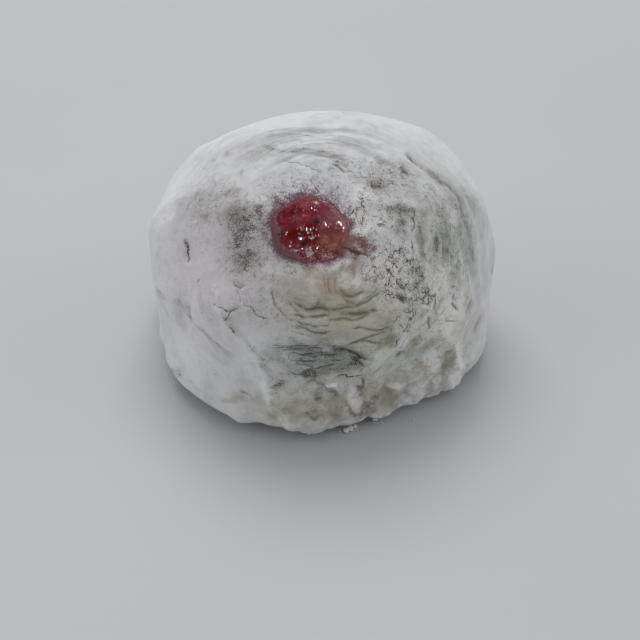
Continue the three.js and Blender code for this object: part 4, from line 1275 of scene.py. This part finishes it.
def berry_material():
    """Ripe strawberry flesh, wet with juice: deep clear red where it is bare, mauve under a film of starch
    paste at the rim, brownish where a thin film of dough still covers it, with tiny sharp lights. A pale
    band across the middle is a painted highlight, and a crease and the seed pits hold painted shade."""
    material, add, place, values = new_material("wet_strawberry_flesh")
    core, rim, brownish = values("flesh")
    milky_sheen, fleck, dark = values("veil")
    dusky, dust, pits = values("bits")
    pale = values("edge")[0]
    mottle = add("TexNoise", {"Vector": place, "Scale": per_mm(1.1), "Detail": 3.0})
    speckle = add("TexNoise", {"Vector": place, "Scale": per_mm(0.28), "Detail": 2.0, "Roughness": 0.7})
    lone = add("Math", (speckle, 0.5), **MINUS)
    dusted = add("Math", (lone, 3.0, dust), **TIMES_PLUS)
    flecked = add("Math", (lone, 3.0, fleck), **TIMES_PLUS)
    rimmed = add("Math", (lone, 1.6, rim), **TIMES_PLUS)
    brown_mottle = add("MapRange", (mottle, 0.4, 0.6), **EASED)
    filmed = add("Mix", (brown_mottle, linear("825140"), linear("996859")), **COLOUR)
    red = layered(
        add,
        linear("620e20"),
        [
            (add("MapRange", (mottle, 0.35, 0.65), **EASED), 1.0, "7a1429"),
            (add("MapRange", (lone, 0.02, 0.14), **EASED), 0.35, "330714"),
            (dusky, 0.7, "6c3440"),
            (add("MapRange", (rimmed, 0.2, 1.0), **EASED), 0.9, "71424f"),
            # Partly a painted highlight: the milky patch across the middle.
            (milky_sheen, 0.8, "82535d"),
            (pale, 0.85, "603843"),
            (add("Math", (lone, 1.8, brownish), **TIMES_PLUS), 0.9, filmed),
            (add("MapRange", (core, 0.1, 0.9), **EASED), 1.0, "5e0003"),
            # Painted shade in the crease at the lower right.
            (dark, 0.5, "3a0d10"),
            (add("MapRange", (dusted, 0.7, 1.25), **EASED), 0.8, "b5a2aa"),
            (add("MapRange", (flecked, 0.35, 1.1), **EASED), 0.8, "bcb0bb"),
            # Painted shade of each seed's pit, with the dark of the sunken seed.
            (pits, 0.75, "2a0a08"),
        ],
    )
    roughness = add("MapRange", (rim, 0.25, 0.8, 0.115, 0.75), **EASED)
    ripple = add("TexNoise", {"Vector": place, "Scale": per_mm(0.45), "Detail": 2.0, "Roughness": 0.5})
    finish = {
        "Base Color": red,
        "Roughness": roughness,
        "Normal": add("Bump", {"Strength": 1.0, "Distance": 0.02 * MM, "Height": ripple}),
        "IOR": 1.36,
        "Specular IOR Level": 0.14,
        "Subsurface Weight": 0.25,
        "Subsurface Radius": (1.0, 0.25, 0.2),
        "Subsurface Scale": 1.2 * MM,
    }
    add("OutputMaterial", {"Surface": add("BsdfPrincipled", finish)})
    return material


def seed_material():
    """Strawberry seeds: hard, brown-black and wet."""
    material, add, place, _ = new_material("wet_strawberry_seed")
    grain = add("TexNoise", {"Vector": place, "Scale": per_mm(0.3), "Detail": 2.0})
    colour = add("Mix", (grain, linear("080303"), linear("200e09")), **COLOUR)
    finish = {"Base Color": colour, "Roughness": 0.5, "Specular IOR Level": 0.15}
    add("OutputMaterial", {"Surface": add("BsdfPrincipled", finish)})
    return material


def crumb_material():
    """Loose starch stuck together in crumbs: matt white, slightly grainy."""
    material, add, place, _ = new_material("starch_crumb")
    grain = add("TexNoise", {"Vector": place, "Scale": per_mm(0.2), "Detail": 3.0})
    colour = add("Mix", (grain, linear("bdbbb7"), linear("e6e5e4")), **COLOUR)
    bump = add("Bump", {"Strength": 0.6, "Distance": 0.1 * MM, "Height": grain})
    finish = {"Base Color": colour, "Roughness": 0.95, "Normal": bump}
    add("OutputMaterial", {"Surface": add("BsdfPrincipled", finish)})
    return material


def floor_material():
    """A pale glazed board: smooth, a little cool, with a soft sheen."""
    material, add, place, _ = new_material("pale_glazed_board")
    drift = add("TexNoise", {"Vector": place, "Scale": per_mm(60), "Detail": 2.0})
    colour = add("Mix", (drift, linear("b3b6b8"), linear("b8bbbd")), **COLOUR)
    add("OutputMaterial", {"Surface": add("BsdfPrincipled", {"Base Color": colour, "Roughness": 0.55})})
    return material


# ---- camera, light and floor ----


CAMERA_PLACE = np.array([-0.02, -154.55, 108.77])
CAMERA_DOWN = 34  # degrees
LENS, SENSOR = 70.875, 36
NEAREST_SEEN = 0.005  # m
FLOOR_HALF = 1500

# Square soft lamps in m and W: the direction that each lies in, its distance, its size and its power.
LAMPS = {
    "softbox": ((-0.1, 0.45, 0.87), 0.75, 0.55, 3.0),
    "fill left": ((-0.85, -0.25, 0.4), 0.75, 0.5, 0.8),
    "fill right": ((0.85, -0.2, 0.4), 0.75, 0.5, 0.8),
}
# Small bright panels whose mirror images lie in the berry, in the same form.
SPARKS = {
    "spark middle": ((-0.05, -0.51, 0.9), 0.5, 0.026, 5.0),
    "spark right": ((0.44, -0.41, 0.83), 0.5, 0.026, 3.0),
    "spark low": ((-0.2, -0.86, 0.54), 0.5, 0.026, 1.7),
    "spark high": ((0.01, 0.08, 1.02), 0.5, 0.026, 0.8),
    "spark left": ((-0.64, -0.07, 0.8), 0.5, 0.026, 1.6),
}
LAMP_AIM = np.array([0, 0, 0.02])  # the middle of the cake, in m
ROOM_COLOUR, ROOM_STRENGTH = "e8e9ea", 0.62


def add_camera():
    """Looks along +Y and down."""
    data = bpy.data.cameras.new("view")
    data.lens, data.sensor_width, data.clip_start = LENS, SENSOR, NEAREST_SEEN
    camera = bpy.data.objects.new("view", data)
    camera.location = CAMERA_PLACE * MM
    camera.rotation_euler = (np.radians(90 - CAMERA_DOWN), 0, 0)
    bpy.context.scene.collection.objects.link(camera)
    bpy.context.scene.camera = camera


def add_lamp(name, towards, distance, size, power):
    """A square soft lamp that looks at the cake from a direction."""
    data = bpy.data.lights.new(name, "AREA")
    data.shape, data.size, data.energy = "SQUARE", size, power
    lamp = bpy.data.objects.new(name, data)
    step = unit(np.array(towards, float)) * distance
    lamp.location = step + LAMP_AIM
    x, y, z = -step
    lamp.rotation_euler = (np.arctan2(np.hypot(x, y), -z), 0, np.arctan2(y, x) - np.pi / 2)
    bpy.context.scene.collection.objects.link(lamp)
    return lamp


def add_light(wet_pieces):
    """A pale room, a large softbox behind and above, and a fill at each side. The sparks light only the
    gloss of the wet pieces."""
    world = bpy.data.worlds.new("pale room")
    world.use_nodes = True
    background = world.node_tree.nodes["Background"]
    background.inputs["Color"].default_value = linear(ROOM_COLOUR)
    background.inputs["Strength"].default_value = ROOM_STRENGTH
    bpy.context.scene.world = world
    wet = bpy.data.collections.new("wet pieces")
    for piece in wet_pieces:
        wet.objects.link(piece)
    for name, values in LAMPS.items():
        add_lamp(name, *values)
    for name, values in SPARKS.items():
        spark = add_lamp(name, *values)
        spark.visible_diffuse = False
        spark.light_linking.receiver_collection = wet
    bpy.context.scene.view_settings.view_transform = "Standard"


def add_floor():
    corners = np.array([(-1, -1, 0), (1, -1, 0), (1, 1, 0), (-1, 1, 0)], float) * FLOOR_HALF
    floor = add_piece("floor", corners, np.array([(0, 1, 2), (0, 2, 3)]))
    floor.data.materials.append(floor_material())


def finished(piece, material):
    piece.data.materials.append(material)
    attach(piece, "root")
    return piece


add_camera()
add_floor()
skin = finished(add_piece("rice_skin_dusted", *skin_arrays()), mochi_material())
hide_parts("mochi")
berry = finished(add_piece("berry_flesh", *berry_arrays()), berry_material())
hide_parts("strawberry")
finished(add_piece("berry_seeds", *seed_arrays()), seed_material())
finished(add_piece("starch_crumbs", *crumb_arrays()), crumb_material())
add_light([berry])
